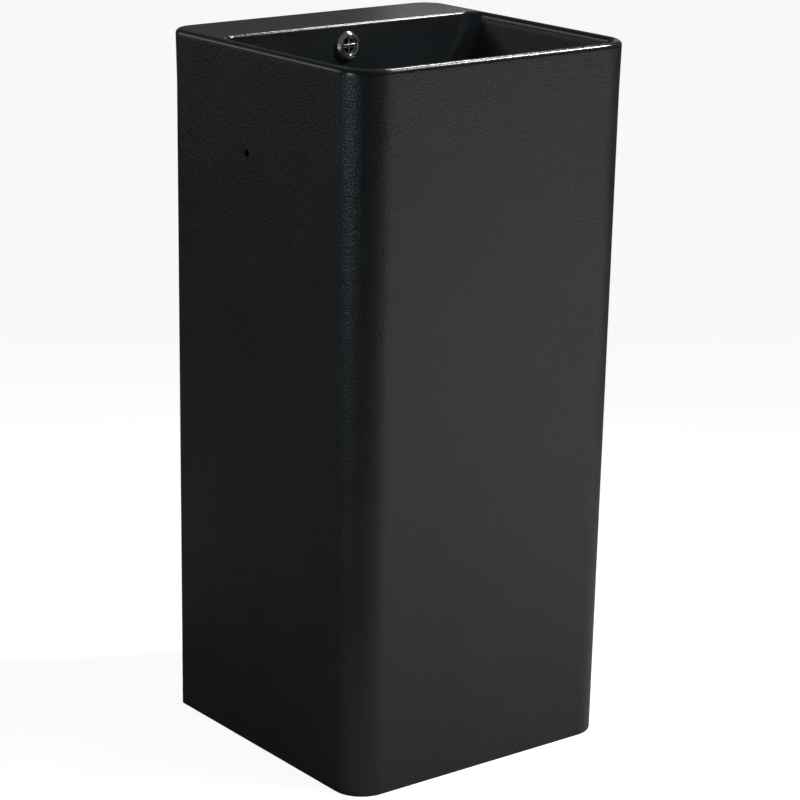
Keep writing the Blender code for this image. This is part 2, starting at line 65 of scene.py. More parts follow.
def gridMesh(name, grid, rowsClose=False, startTip=None, endTip=None):
    # one quad per cell of a rows x columns grid whose columns close on themselves and whose
    # rows run down the outer side; each open end gets a flat lid, or a fan to its tip
    rows, columns, _ = grid.shape
    points = grid.reshape(-1, 3)
    index = np.arange(rows * columns).reshape(rows, columns)
    if rowsClose:
        index = np.vstack((index, index[:1]))
    beside = np.roll(index, -1, axis=1)
    faces = np.stack((index[:-1], index[1:], beside[1:], beside[:-1]), axis=-1).reshape(-1, 4).tolist()
    if not rowsClose:
        for tip, ring, turn in ((startTip, index[0], 1), (endTip, index[-1], -1)):
            if tip is None:
                faces.append(ring[::turn].tolist())
                continue
            points = np.vstack((points, tip))
            middle = np.full(columns, len(points) - 1)
            faces += np.stack((middle, ring, np.roll(ring, -1)), axis=-1)[:, ::turn].tolist()
    mesh = bpy.data.meshes.new(name)
    mesh.from_pydata(points.tolist(), [], faces)
    mesh.update()
    return mesh


def addPiece(name, mesh, finish, node, body="sink", sharp=40):
    mesh.shade_smooth()
    mesh.set_sharp_from_angle(angle=radians(sharp))
    if not mesh.materials:
        mesh.materials.append(finishes[finish])
    piece = bpy.data.objects.new(name, mesh)
    bpy.context.scene.collection.objects.link(piece)
    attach(piece, body)
    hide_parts(node)
    return piece


def carved(mesh, cutters):
    # mesh after one boolean per (other mesh, operation), worked out exactly and applied
    base = bpy.data.objects.new("carving", mesh)
    bpy.context.scene.collection.objects.link(base)
    helpers = []
    for other, operation in cutters:
        helper = bpy.data.objects.new("cutter", other)
        bpy.context.scene.collection.objects.link(helper)
        helpers.append(helper)
        step = base.modifiers.new("carve", "BOOLEAN")
        step.operation = operation
        step.object = helper
        step.solver = "EXACT"
        step.material_mode = "INDEX"
    bpy.context.view_layer.update()
    graph = bpy.context.evaluated_depsgraph_get()
    result = bpy.data.meshes.new_from_object(base.evaluated_get(graph))
    for helper in [base] + helpers:
        bpy.data.objects.remove(helper, do_unlink=True)
    return result


def softProfile(corners, reach, steps=3):
    # each corner of the (radius, height) outline becomes a quadratic curve between two points that
    # lie on its sides, reach away from it or 45% of the shorter side; ends on the axis stay
    corners = np.array(corners, float)
    back = np.roll(corners, 1, axis=0) - corners
    on = np.roll(corners, -1, axis=0) - corners
    backLength = np.linalg.norm(back, axis=1)[:, None]
    onLength = np.linalg.norm(on, axis=1)[:, None]
    step = np.minimum(reach, 0.45 * np.minimum(backLength, onLength))
    start = (corners + back / backLength * step)[:, None]
    end = (corners + on / onLength * step)[:, None]
    share = np.linspace(0, 1, steps + 1)[None, :, None]
    curve = (1 - share) ** 2 * start + 2 * share * (1 - share) * corners[:, None] + share ** 2 * end
    if corners[0, 0] > 0:
        return curve.reshape(-1, 2)
    return np.vstack((corners[:1], curve[1:-1].reshape(-1, 2), corners[-1:]))


def denser(profile, spacing):
    # the same outline with a point at least every spacing along it
    profile = np.vstack((profile, profile[:1])) if profile[0, 0] > 0 else profile
    run = np.concatenate(([0], np.cumsum(np.linalg.norm(np.diff(profile, axis=0), axis=1))))
    marks = np.unique(np.concatenate((run, np.arange(0, run[-1], spacing))))
    dense = np.stack([np.interp(marks, run, profile[:, k]) for k in (0, 1)], axis=-1)
    return dense[:-1] if profile[0, 0] > 0 else dense


# where local (x, y, z) of a turned piece goes, by where its axis points
layAlong = {
    "up": lambda p: p,
    "back": lambda p: np.stack((p[..., 0], p[..., 2], -p[..., 1]), axis=-1),
    "front": lambda p: np.stack((p[..., 0], -p[..., 2], p[..., 1]), axis=-1),
}


def turnedMesh(name, profile, steps, foot, along="up", shape=None):
    # radius and height of the profile swept round the axis: (r cos a, r sin a, h); shape may
    # change the radius by (radius, angle, height), which is how ribs, flats and threads come in
    profile = np.asarray(profile)
    onAxis = profile[0, 0] <= 0
    body = profile[1:-1] if onAxis else profile
    angle = 2 * pi * np.arange(steps)[None, :] / steps
    height = body[:, 1:2] + 0 * angle
    radius = body[:, :1] + 0 * angle
    if shape:
        radius = shape(radius, angle, height)
    place = layAlong[along]
    grid = place(np.stack((radius * np.cos(angle), radius * np.sin(angle), height), axis=-1)) + foot
    if not onAxis:
        return gridMesh(name, grid, rowsClose=True)
    tips = place(np.array([[0, 0, profile[0, 1]], [0, 0, profile[-1, 1]]])) + foot
    return gridMesh(name, grid, startTip=tips[0], endTip=tips[1])


def cadFoot(node, along="up"):
    # the point on a turned CAD node's axis where its height is zero
    low, high = (np.array(corner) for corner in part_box(node))
    foot = (low + high) / 2
    foot[{"up": 2, "back": 1, "front": 1}[along]] = {"up": low[2], "back": low[1], "front": high[1]}[along]
    return foot


def addTurned(name, node, outline, steps, finish, body="sink", along="up", shape=None, sharp=40):
    # a turned piece that stands where its CAD node stands
    return addPiece(name, turnedMesh(name, outline, steps, cadFoot(node, along), along, shape), finish, node, body,
                    sharp)


def stoodAt(mesh, origin, turn):
    mesh.transform(Matrix.Translation(origin) @ Euler(turn).to_matrix().to_4x4())
    return mesh


def pathTube(name, path, radius, steps, side=(1, 0, 0)):
    # a circle carried along the path: centre + r (cos a * side' + sin a * across), where across is
    # tangent x side and side' = across x tangent, so the ring stays square to the path
    path = np.asarray(path, float)
    tangent = np.gradient(path, axis=0)
    tangent /= np.linalg.norm(tangent, axis=1)[:, None]
    across = np.cross(tangent, np.broadcast_to(side, path.shape))
    across /= np.linalg.norm(across, axis=1)[:, None]
    aside = np.cross(across, tangent)
    angle = (2 * pi * np.arange(steps) / steps)[None, :, None]
    radius = np.broadcast_to(np.asarray(radius, float), (len(path),))[:, None, None]
    grid = path[:, None] + radius * (np.cos(angle) * aside[:, None] + np.sin(angle) * across[:, None])
    return gridMesh(name, grid[::-1], startTip=path[-1], endTip=path[0])


cameraView = {
    "lens": 125.117, "sensor": 36.0,
    "place": (-1.91413, -2.56173, 1.34333),
    "yaw": 36.8529, "pitch": 16.2761, "roll": 0.4575,
}


def addCamera(view):
    yaw, pitch, roll = (radians(view[key]) for key in ("yaw", "pitch", "roll"))
    forward = np.array((sin(yaw) * cos(pitch), cos(yaw) * cos(pitch), -sin(pitch)))
    right = np.cross(forward, (0, 0, 1))
    right /= np.linalg.norm(right)
    up = np.cross(right, forward)
    rightTurned = cos(roll) * right + sin(roll) * up
    upTurned = -sin(roll) * right + cos(roll) * up
    data = bpy.data.cameras.new("camera")
    data.lens = view["lens"]
    data.sensor_width = view["sensor"]
    data.clip_end = 200
    camera = bpy.data.objects.new("camera", data)
    turn = Matrix(np.column_stack((rightTurned, upTurned, -forward)).tolist()).to_4x4()
    camera.matrix_world = Matrix.Translation(view["place"]) @ turn
    bpy.context.scene.collection.objects.link(camera)
    bpy.context.scene.camera = camera


addCamera(cameraView)
bpy.context.scene.view_settings.view_transform = "Standard"
print("camera placed")


def addNode(tree, kind, settings=None, **inputs):
    made = tree.nodes.new(kind)
    for key, value in (settings or {}).items():
        setattr(made, key, value)
    for key, value in inputs.items():
        numbered = key[0] == "i" and key[1:].isdigit()
        socket = made.inputs[int(key[1:]) if numbered else key.replace("_", " ")]
        if isinstance(value, bpy.types.NodeSocket):
            tree.links.new(value, socket)
        else:
            socket.default_value = value
    return made


def calc(tree, operation, a, b=0.0, c=0.0, clamp=False):
    made = addNode(tree, "ShaderNodeMath", {"operation": operation, "use_clamp": clamp}, i0=a, i1=b, i2=c)
    return made.outputs[0]


def spread(tree, value, fromLow, fromHigh, toLow=0.0, toHigh=1.0):
    made = addNode(tree, "ShaderNodeMapRange", {"interpolation_type": "SMOOTHSTEP"}, Value=value,
                   From_Min=fromLow, From_Max=fromHigh, To_Min=toLow, To_Max=toHigh)
    return made.outputs[0]


def blendColour(tree, share, first, second, kind="MIX"):
    made = addNode(tree, "ShaderNodeMix", {"data_type": "RGBA", "blend_type": kind}, i0=share)
    for socket, value in ((made.inputs[6], first), (made.inputs[7], second)):
        if isinstance(value, bpy.types.NodeSocket):
            tree.links.new(value, socket)
        else:
            socket.default_value = (*value, 1.0)
    return made.outputs[2]


def newGroup(name, inputs, outputs):
    tree = bpy.data.node_groups.new(name, "ShaderNodeTree")
    for socketName, kind, value in inputs:
        made = tree.interface.new_socket(socketName, in_out="INPUT", socket_type="NodeSocket" + kind)
        if value is not None:
            made.default_value = value
    for socketName in outputs:
        tree.interface.new_socket(socketName, in_out="OUTPUT", socket_type="NodeSocketFloat")
    return tree, tree.nodes.new("NodeGroupInput").outputs, tree.nodes.new("NodeGroupOutput").inputs


def useGroup(tree, group, **inputs):
    return addNode(tree, "ShaderNodeGroup", {"node_tree": group}, **inputs).outputs


def makePebbleGroup():
    # pebbled glaze: soft rounded cells of the given size with a finer grain on top, and slow clouds
    tree, given, out = newGroup("pebbledSkin", (
        ("Vector", "Vector", None), ("Cell", "Float", 0.003), ("Grain", "Float", 0.4)),
        ("Height", "Cell Tone", "Cloud", "Speck"))
    density = calc(tree, "DIVIDE", 1.0, given["Cell"])
    warp = addNode(tree, "ShaderNodeTexNoise", None, Vector=given["Vector"],
                   Scale=calc(tree, "MULTIPLY", density, 0.45), Detail=1.0)
    lean = addNode(tree, "ShaderNodeVectorMath", {"operation": "SUBTRACT"}, i0=warp.outputs["Color"],
                   i1=(0.5, 0.5, 0.5))
    push = addNode(tree, "ShaderNodeVectorMath", {"operation": "SCALE"}, i0=lean.outputs[0],
                   Scale=calc(tree, "MULTIPLY", given["Cell"], 1.6))
    place = addNode(tree, "ShaderNodeVectorMath", {"operation": "ADD"}, i0=given["Vector"], i1=push.outputs[0])
    cells = addNode(tree, "ShaderNodeTexVoronoi", {"feature": "SMOOTH_F1"}, Vector=place.outputs[0],
                    Scale=density, Smoothness=0.45)
    fine = addNode(tree, "ShaderNodeTexNoise", None, Vector=given["Vector"],
                   Scale=calc(tree, "MULTIPLY", density, 3.1), Detail=2.0, Roughness=0.55)
    dome = spread(tree, cells.outputs["Distance"], 0.05, 0.75, 1.0, 0.0)
    height = calc(tree, "MULTIPLY_ADD", fine.outputs["Fac"], given["Grain"], dome)
    cloud = addNode(tree, "ShaderNodeTexNoise", None, Vector=given["Vector"], Scale=11.0, Detail=3.0)
    speck = addNode(tree, "ShaderNodeTexNoise", None, Vector=given["Vector"], Scale=1400.0, Detail=0.0)
    links = tree.links
    links.new(height, out["Height"])
    links.new(dome, out["Cell Tone"])
    links.new(cloud.outputs["Fac"], out["Cloud"])
    links.new(spread(tree, speck.outputs["Fac"], 0.70, 0.80), out["Speck"])
    return tree


def makeHandledGroup():
    # what handling leaves on a small part: smudges, dust in patches and fine scratches
    tree, given, out = newGroup("handledSkin", (
        ("Vector", "Vector", None), ("Size", "Float", 0.02), ("Scratches", "Float", 0.5)),
        ("Smudge", "Dust", "Scratch", "Fine"))
    density = calc(tree, "DIVIDE", 1.0, given["Size"])
    smudge = addNode(tree, "ShaderNodeTexNoise", None, Vector=given["Vector"], Scale=density, Detail=3.0,
                     Distortion=0.6)
    dust = addNode(tree, "ShaderNodeTexNoise", None, Vector=given["Vector"],
                   Scale=calc(tree, "MULTIPLY", density, 2.3), Detail=5.0, Roughness=0.7)
    stretched = addNode(tree, "ShaderNodeMapping", None, Vector=given["Vector"],
                        Rotation=(0.4, 0.9, 0.3), Scale=(1.0, 14.0, 1.0))
    scratch = addNode(tree, "ShaderNodeTexNoise", None, Vector=stretched.outputs[0],
                      Scale=calc(tree, "MULTIPLY", density, 6.0), Detail=2.0)
    fine = addNode(tree, "ShaderNodeTexNoise", None, Vector=given["Vector"],
                   Scale=calc(tree, "MULTIPLY", density, 24.0), Detail=2.0)
    links = tree.links
    links.new(spread(tree, smudge.outputs["Fac"], 0.35, 0.7), out["Smudge"])
    links.new(spread(tree, dust.outputs["Fac"], 0.48, 0.75), out["Dust"])
    line = spread(tree, scratch.outputs["Fac"], 0.62, 0.7)
    links.new(calc(tree, "MULTIPLY", line, given["Scratches"]), out["Scratch"])
    links.new(fine.outputs["Fac"], out["Fine"])
    return tree


def makeTurnedGroup():
    # lathe marks: bands by the distance from the axis and along it, broken up round the axis
    tree, given, out = newGroup("turnedMarks", (
        ("Vector", "Vector", None), ("Pitch", "Float", 0.0004)), ("Height", "Tone"))
    parts = addNode(tree, "ShaderNodeSeparateXYZ", None, Vector=given["Vector"]).outputs
    span = calc(tree, "SQRT", calc(tree, "ADD", calc(tree, "MULTIPLY", parts[0], parts[0]),
                                   calc(tree, "MULTIPLY", parts[1], parts[1])))
    turn = calc(tree, "ARCTAN2", parts[1], parts[0])
    cell = addNode(tree, "ShaderNodeCombineXYZ", None, X=calc(tree, "DIVIDE", span, given["Pitch"]),
                   Y=calc(tree, "DIVIDE", parts[2], given["Pitch"]), Z=calc(tree, "MULTIPLY", turn, 0.35))
    marks = addNode(tree, "ShaderNodeTexNoise", None, Vector=cell.outputs[0], Scale=1.0, Detail=2.0)
    tree.links.new(marks.outputs["Fac"], out["Height"])
    tree.links.new(spread(tree, marks.outputs["Fac"], 0.4, 0.65), out["Tone"])
    return tree


pebbledSkin = makePebbleGroup()
handledSkin = makeHandledGroup()
turnedMarks = makeTurnedGroup()


def newMaterial(name, **plain):
    material = bpy.data.materials.new(name)
    material.use_nodes = True
    tree = material.node_tree
    shader = tree.nodes["Principled BSDF"]
    for key, value in plain.items():
        shader.inputs[key.replace("_", " ")].default_value = value
    place = tree.nodes.new("ShaderNodeTexCoord").outputs["Object"]
    return material, tree, shader, place


def setBump(tree, shader, height, distance, strength=1.0):
    bump = addNode(tree, "ShaderNodeBump", None, Height=height, Distance=distance, Strength=strength)
    tree.links.new(bump.outputs[0], shader.inputs["Normal"])


# the basin's colour is lighter and bluer than the outer glaze: a painted reflection of cool sky light on the basin
# walls, not a different glaze
glaze = {
    "colour": (0.0132, 0.0136, 0.0120), "basinPaintedReflection": (0.0190, 0.0240, 0.0270),
    "roughness": 0.36, "basinRoughness": 0.24, "rimRoughness": 0.20,
    "cell": 0.0023, "grain": 0.5, "depth": 0.00026, "basinDepth": 0.15,
}


def glazedCeramic():
    material, tree, shader, place = newMaterial("glazedCeramic", IOR=1.5)
    skin = useGroup(tree, pebbledSkin, Vector=place, Cell=glaze["cell"], Grain=glaze["grain"])
    x, y, z = addNode(tree, "ShaderNodeSeparateXYZ", None, Vector=place).outputs[:3]
    edge = cadHigh[0] - 0.0115
    sideways = calc(tree, "SUBTRACT", edge, calc(tree, "ABSOLUTE", x))
    frontways = calc(tree, "ADD", y, edge)
    backways = calc(tree, "SUBTRACT", 0.0945, y)
    inner = calc(tree, "MINIMUM", calc(tree, "MINIMUM", sideways, frontways), backways)
    inBasin = calc(tree, "MULTIPLY", spread(tree, inner, 0.0, 0.004), spread(tree, z, 0.70, 0.72))
    # inside the basin the glaze colour is painted lighter and bluer, a painted reflection of sky light; the lower
    # roughness and softer relief there are real
    colour = blendColour(tree, inBasin, glaze["colour"], glaze["basinPaintedReflection"])
    tone = spread(tree, skin["Cloud"], 0.3, 0.7, 0.86, 1.14)
    colour = blendColour(tree, 1.0, colour, addNode(
        tree, "ShaderNodeCombineColor", None, Red=tone, Green=tone, Blue=tone).outputs[0], "MULTIPLY")
    # bare, slightly chipped line where the foot stands on the floor
    chipNoise = addNode(tree, "ShaderNodeTexNoise", None, Vector=place, Scale=260.0, Detail=3.0)
    reach = calc(tree, "MULTIPLY", chipNoise.outputs["Fac"], 0.0036)
    bare = spread(tree, calc(tree, "SUBTRACT", reach, z), 0.0010, 0.0014)
    colour = blendColour(tree, bare, colour, (0.30, 0.285, 0.26))
    tree.links.new(colour, shader.inputs["Base Color"])
    base = calc(tree, "MULTIPLY_ADD", inBasin, glaze["basinRoughness"] - glaze["roughness"], glaze["roughness"])
    rim = spread(tree, z, cadHigh[2] - 0.0085, cadHigh[2] - 0.0045)
    base = calc(tree, "MULTIPLY_ADD", rim, glaze["rimRoughness"] - glaze["roughness"], base)
    base = calc(tree, "MULTIPLY_ADD", calc(tree, "SUBTRACT", skin["Cloud"], 0.5), 0.12, base)
    rough = calc(tree, "MULTIPLY_ADD", skin["Cell Tone"], -0.05, calc(tree, "ADD", base, 0.03))
    rough = calc(tree, "MULTIPLY_ADD", bare, 0.5, rough, clamp=True)
    tree.links.new(rough, shader.inputs["Roughness"])
    smooth = calc(tree, "MAXIMUM", inBasin, rim)
    relief = calc(tree, "MULTIPLY_ADD", smooth, glaze["basinDepth"] - 1.0, 1.0)
    setBump(tree, shader, calc(tree, "MULTIPLY", skin["Height"], relief), glaze["depth"])
    return material


clay = {"colour": (0.46, 0.41, 0.34), "stain": (0.30, 0.26, 0.21), "overspray": (0.018, 0.018, 0.019)}


def rawClay():
    material, tree, shader, place = newMaterial("rawClay")
    skin = useGroup(tree, handledSkin, Vector=place, Size=0.06, Scratches=0.4)
    colour = blendColour(tree, skin["Smudge"], clay["colour"], clay["stain"])
    colour = blendColour(tree, calc(tree, "MULTIPLY", skin["Dust"], 0.5), colour, (0.58, 0.54, 0.48))
    y = addNode(tree, "ShaderNodeSeparateXYZ", None, Vector=place).outputs[1]
    ragged = addNode(tree, "ShaderNodeTexNoise", None, Vector=place, Scale=38.0, Detail=6.0, Roughness=0.7)
    depth = calc(tree, "MULTIPLY_ADD", ragged.outputs["Fac"], 0.055, y)
    spray = spread(tree, depth, cadHigh[1] + 0.004, cadHigh[1] + 0.030)
    colour = blendColour(tree, spray, colour, clay["overspray"])
    tree.links.new(colour, shader.inputs["Base Color"])
    tree.links.new(calc(tree, "MULTIPLY_ADD", spray, -0.45, 0.88), shader.inputs["Roughness"])
    height = calc(tree, "MULTIPLY_ADD", skin["Scratch"], -0.6, skin["Fine"])
    setBump(tree, shader, height, 0.0004)
    return material


def metalFinish(name, colour, tarnish, roughness, tarnishShare, pitch, marks, centre, turn=(0, 0, 0)):
    # bare or plated metal: base colour towards tarnish in smudges, lathe marks round the axis
    material, tree, shader, place = newMaterial(name, Metallic=1.0)
    centred = addNode(tree, "ShaderNodeMapping", {"vector_type": "TEXTURE"}, Vector=place, Location=centre,
                      Rotation=turn)
    skin = useGroup(tree, handledSkin, Vector=place, Size=0.009, Scratches=0.6)
    lathe = useGroup(tree, turnedMarks, Vector=centred.outputs[0], Pitch=pitch)
    share = calc(tree, "MULTIPLY", skin["Smudge"], tarnishShare)
    tree.links.new(blendColour(tree, share, colour, tarnish), shader.inputs["Base Color"])
    rough = calc(tree, "MULTIPLY_ADD", skin["Smudge"], 0.10, roughness)
    rough = calc(tree, "MULTIPLY_ADD", skin["Scratch"], 0.12, rough)
    rough = calc(tree, "MULTIPLY_ADD", lathe["Tone"], marks * 0.25, rough, clamp=True)
    tree.links.new(rough, shader.inputs["Roughness"])
    height = calc(tree, "MULTIPLY_ADD", lathe["Height"], marks, calc(tree, "MULTIPLY", skin["Fine"], 0.15))
    setBump(tree, shader, height, 0.00004)
    return material


def mouldedFinish(name, colour, dustColour, roughness, dustShare, relief, sheen=0.0):
    # moulded plastic or rubber: fine spark-eroded texture, dust in patches, faint scratches
    material, tree, shader, place = newMaterial(name, Sheen_Weight=sheen)
    skin = useGroup(tree, handledSkin, Vector=place, Size=0.014, Scratches=0.5)
    share = calc(tree, "MULTIPLY", skin["Dust"], dustShare)
    colour = blendColour(tree, share, colour, dustColour)
    tree.links.new(colour, shader.inputs["Base Color"])
    rough = calc(tree, "MULTIPLY_ADD", skin["Smudge"], 0.10, roughness)
    rough = calc(tree, "MULTIPLY_ADD", skin["Dust"], 0.12, rough, clamp=True)
    tree.links.new(rough, shader.inputs["Roughness"])
    setBump(tree, shader, calc(tree, "MULTIPLY_ADD", skin["Scratch"], -0.5, skin["Fine"]), relief)
    return material


drainY = cadFoot("waste_body")[1]
drainAxis = (0.0, drainY, 0.0)
finishes = {
    "glaze": glazedCeramic(),
    "clay": rawClay(),
    "chromeRing": metalFinish("chromeRing", (0.78, 0.77, 0.74), (0.60, 0.59, 0.55), 0.07, 0.5, 0.0006, 0.10,
                              tuple(cadFoot("overflow_ring", "front"))),
    "chromeWaste": metalFinish("chromeWaste", (0.77, 0.77, 0.76), (0.58, 0.58, 0.56), 0.07, 0.4, 0.0006, 0.12,
                               drainAxis),
    "brass": metalFinish("turnedBrass", (0.71, 0.50, 0.22), (0.33, 0.21, 0.09), 0.26, 0.7, 0.0005, 0.8,
                         drainAxis),
    "spring": metalFinish("springWire", (0.56, 0.56, 0.58), (0.38, 0.37, 0.36), 0.22, 0.6, 0.0003, 0.5,
                          drainAxis),
    "rubber": mouldedFinish("blackRubber", (0.018, 0.018, 0.019), (0.11, 0.105, 0.10), 0.68, 0.45, 0.00007, 0.15),
    "plastic": mouldedFinish("whitePlastic", (0.80, 0.80, 0.775), (0.62, 0.59, 0.53), 0.34, 0.30, 0.00003),
}
print("finishes made")


column = {
    "height": cadHigh[2], "rim": cadHigh[0] * 2, "back": cadHigh[1],
    "footWidth": 0.375, "footDepth": 0.3715, "lipHeight": 0.060, "lipWidth": 0.388, "lipDepth": 0.3885,
    "frontRadii": (0.038, 0.044), "backRadii": (0.006, 0.032),
    "wall": 0.012, "rimRound": 0.0058, "rimSide": 0.006, "footRound": 0.0015,
    "deckDepth": 0.102, "deckRound": 0.004,
    "sideSlope": 0.524, "frontSlope": 0.27, "backSlope": 0.12,
    "wallEnd": 0.766, "turn": 0.027, "floor": 0.7395, "floorRadii": (0.045, 0.030), "topRadii": (0.032, 0.018),
    "drainTop": 0.7365, "seat": 0.7340, "seatRadius": 0.0330, "boreRadius": 0.023,
    "bossRadius": 0.042, "bossLow": 0.700,
    "cornerSteps": 14, "sideSteps": 14,
}
overflow = {"x": -0.0065, "z": 0.8250, "hole": 0.011, "duct": 0.009, "ductWall": 0.008, "bend": 0.035,
            "drainEntry": 0.7175}
sideHole = {"y": 0.028, "z": 0.7270, "radius": 0.004, "depth": 0.024, "flare": 0.0024}
opening = {"width": 0.220, "top": 0.620, "radius": 0.050, "flare": 0.004}


def roundedLoops(half, front, back, frontRadius, backRadius, height):
    # rounded rectangles, one per row: four quarter arcs, centre + radius (cos a, sin a), joined by
    # evenly divided straight sides, counter-clockwise from above
    half, front, back, frontRadius, backRadius, height = (
        np.broadcast_to(v, np.shape(height)).astype(float)[:, None]
        for v in (half, front, back, frontRadius, backRadius, height))
    quarter = (pi / 2 * np.arange(column["cornerSteps"] + 1) / column["cornerSteps"])[None]
    corners = []
    for side, end, radius, start in ((1, front + frontRadius, frontRadius, -pi / 2),
                                     (1, back - backRadius, backRadius, 0.0),
                                     (-1, back - backRadius, backRadius, pi / 2),
                                     (-1, front + frontRadius, frontRadius, pi)):
        corners.append(np.stack((side * (half - radius) + radius * np.cos(start + quarter),
                                 end + radius * np.sin(start + quarter)), axis=-1))
    share = (np.arange(1, column["sideSteps"]) / column["sideSteps"])[None, :, None]
    runs = []
    for arc, following in zip(corners, corners[1:] + corners[:1]):
        runs += [arc, arc[:, -1:] + (following[:, :1] - arc[:, -1:]) * share]
    flat = np.concatenate(runs, axis=1)
    return np.dstack((flat, height + np.zeros(flat.shape[:2])))


def outerLoops(height, inset, lift=None, backRadiusLeast=0.003):
    # outer skin at each height: width, depth and corner radii run straight from foot to lip, then
    # lean out to the rim; inset draws it in and lift gives the height it is drawn at
    height, inset = np.asarray(height, float), np.asarray(inset, float)
    lip = column["height"] - column["lipHeight"]
    below = np.clip(height / lip, 0, 1)
    above = np.clip((height - lip) / (column["lipHeight"] - column["rimSide"]), 0, 1)
    width = column["footWidth"] + (column["lipWidth"] - column["footWidth"]) * below \
        + (column["rim"] - column["lipWidth"]) * above
    depth = column["footDepth"] + (column["lipDepth"] - column["footDepth"]) * below \
        + (column["rim"] - column["lipDepth"]) * above
    radii = [low + (high - low) * below - inset for low, high in (column["frontRadii"], column["backRadii"])]
    return roundedLoops(width / 2 - inset, column["back"] - depth + inset, column["back"] - inset,
                        radii[0], np.maximum(radii[1], backRadiusLeast), height if lift is None else lift)


def basinLoops(height, out, backOut, turn, frontRadius, backRadius, lift=None):
    # basin outline: each wall moves in by its slope times the depth, then by turn, and out by out
    down = np.maximum(column["height"] - column["rimSide"] - height, 0)
    half = column["rim"] / 2 - column["wall"] - down * column["sideSlope"] + out - turn
    front = -column["rim"] / 2 + column["wall"] + down * column["frontSlope"] - out + turn
    back = column["back"] - column["deckDepth"] - down * column["backSlope"] + backOut - turn
    return roundedLoops(half, front, back, frontRadius, backRadius, height if lift is None else lift)


def basinWalls(offset):
    # from the floor's edge up: the quarter turn, the sloping walls and the rounded rim
    a = np.linspace(0, pi / 2, 11)
    turnLoops = basinLoops(
        np.full(11, column["wallEnd"]), offset, offset, column["turn"] * (1 - np.sin(a)),
        column["floorRadii"][0] + offset, column["floorRadii"][1] + offset,
        column["wallEnd"] - (column["wallEnd"] - column["floor"] + offset) * np.cos(a))
    up = np.linspace(0, 1, 14)[1:]
    level = column["wallEnd"] + (column["height"] - column["rimSide"] - column["wallEnd"]) * up
    frontRadius, backRadius = (np.interp(level, (column["wallEnd"], 0.805, column["height"] - column["rimSide"]),
                                         (floorR, middleR, topR)) + offset
                               for floorR, middleR, topR in ((0.045, 0.038, 0.032), (0.030, 0.024, 0.018)))
    wallLoops = basinLoops(level, offset, offset, 0.0, frontRadius, backRadius)
    a = np.linspace(pi / 2, 0, 8)[1:]
    out = column["rimRound"] * (1 - np.sin(a))
    backOut = column["deckRound"] * (1 - np.sin(a))
    level = column["height"] - column["rimRound"] * (1 - np.cos(a))
    rimLoops = basinLoops(level, out + offset, backOut + offset, 0.0, column["topRadii"][0] + out + offset,
                          column["topRadii"][1] + backOut + offset)
    return np.vstack((turnLoops, wallLoops, rimLoops))


def circleLike(loop, radius, height):
    # the loop's points pulled onto a circle round the drain, each keeping its direction
    dx, dy = loop[:, 0], loop[:, 1] - drainY
    span = np.hypot(dx, dy)
    radius, height = (np.atleast_1d(v).astype(float)[:, None] for v in (radius, height))
    return np.dstack((dx / span * radius, drainY + dy / span * radius, height + 0 * span))


def ceramicSkin():
    walls = basinWalls(0.0)
    edge = walls[0]
    # floor: straight fall from its rounded-rectangle edge to the round drain seat
    seatLip = circleLike(edge, column["seatRadius"] + 0.0016, column["drainTop"])
    share = np.linspace(0, 1, 10)[:-1, None, None]
    soft = share * share * (3 - 2 * share)
    fallen = seatLip + (edge[None] - seatLip) * share
    fallen[..., 2:] = column["drainTop"] + (column["floor"] - column["drainTop"]) * (0.6 * share + 0.4 * soft)
    a = np.linspace(0, pi / 2, 5)
    lip = circleLike(edge, column["seatRadius"] + 0.0016 * (1 - np.cos(a[:-1])),
                     column["drainTop"] - 0.0016 * (1 - np.sin(a[:-1])))
    bore = circleLike(edge, (column["boreRadius"], column["boreRadius"], column["boreRadius"] + 0.001,
                             column["seatRadius"] - 0.0006, column["seatRadius"]),
                      (column["bossLow"] - 0.008, column["seat"] - 0.001, column["seat"], column["seat"],
                       column["seat"] + 0.0003))
    deck = np.linspace(0, 1, 6)[1:-1, None, None]
    a = np.linspace(pi / 2, 0, 8)
    rim = outerLoops(np.full(8, column["height"] - column["rimSide"]), column["rimRound"] * (1 - np.cos(a)),
                     column["height"] - column["rimRound"] * (1 - np.sin(a)))
    land = walls[-1:] + (rim[:1] - walls[-1:]) * deck
    down = np.concatenate((np.linspace(column["height"] - column["rimSide"] - 0.006, 0.79, 6),
                           np.linspace(0.79, 0.004, 44)[1:]))
    wall = outerLoops(down, 0.0)
    a = np.linspace(0, pi / 2, 5)
    foot = outerLoops(column["footRound"] * (1 - np.sin(a)), column["footRound"] * (1 - np.cos(a)))
    return gridMesh("ceramicSkin", np.vstack((bore, lip, fallen, walls, land, rim, wall, foot)))


def backWallAt(height):
    down = column["height"] - column["rimSide"] - height
    return column["back"] - column["deckDepth"] - down * column["backSlope"]


def ductPath():
    # straight down behind the basin, a quarter turn under it, then level to the drain; it drifts
    # sideways to the drain's middle in step with how far back it still is
    yBack, bend, low = backWallAt(overflow["z"]) + 0.020, overflow["bend"], overflow["drainEntry"]
    a = np.linspace(0, pi / 2, 12)[1:-1]
    level = np.linspace(yBack - bend, drainY + 0.004, 8)
    y = np.concatenate((np.full(8, yBack), yBack - bend + bend * np.cos(a), level))
    z = np.concatenate((np.linspace(0.838, low + bend, 8), low + bend - bend * np.sin(a), np.full(8, low)))
    return np.stack((overflow["x"] * (y - drainY) / (yBack - drainY), y, z), axis=-1)


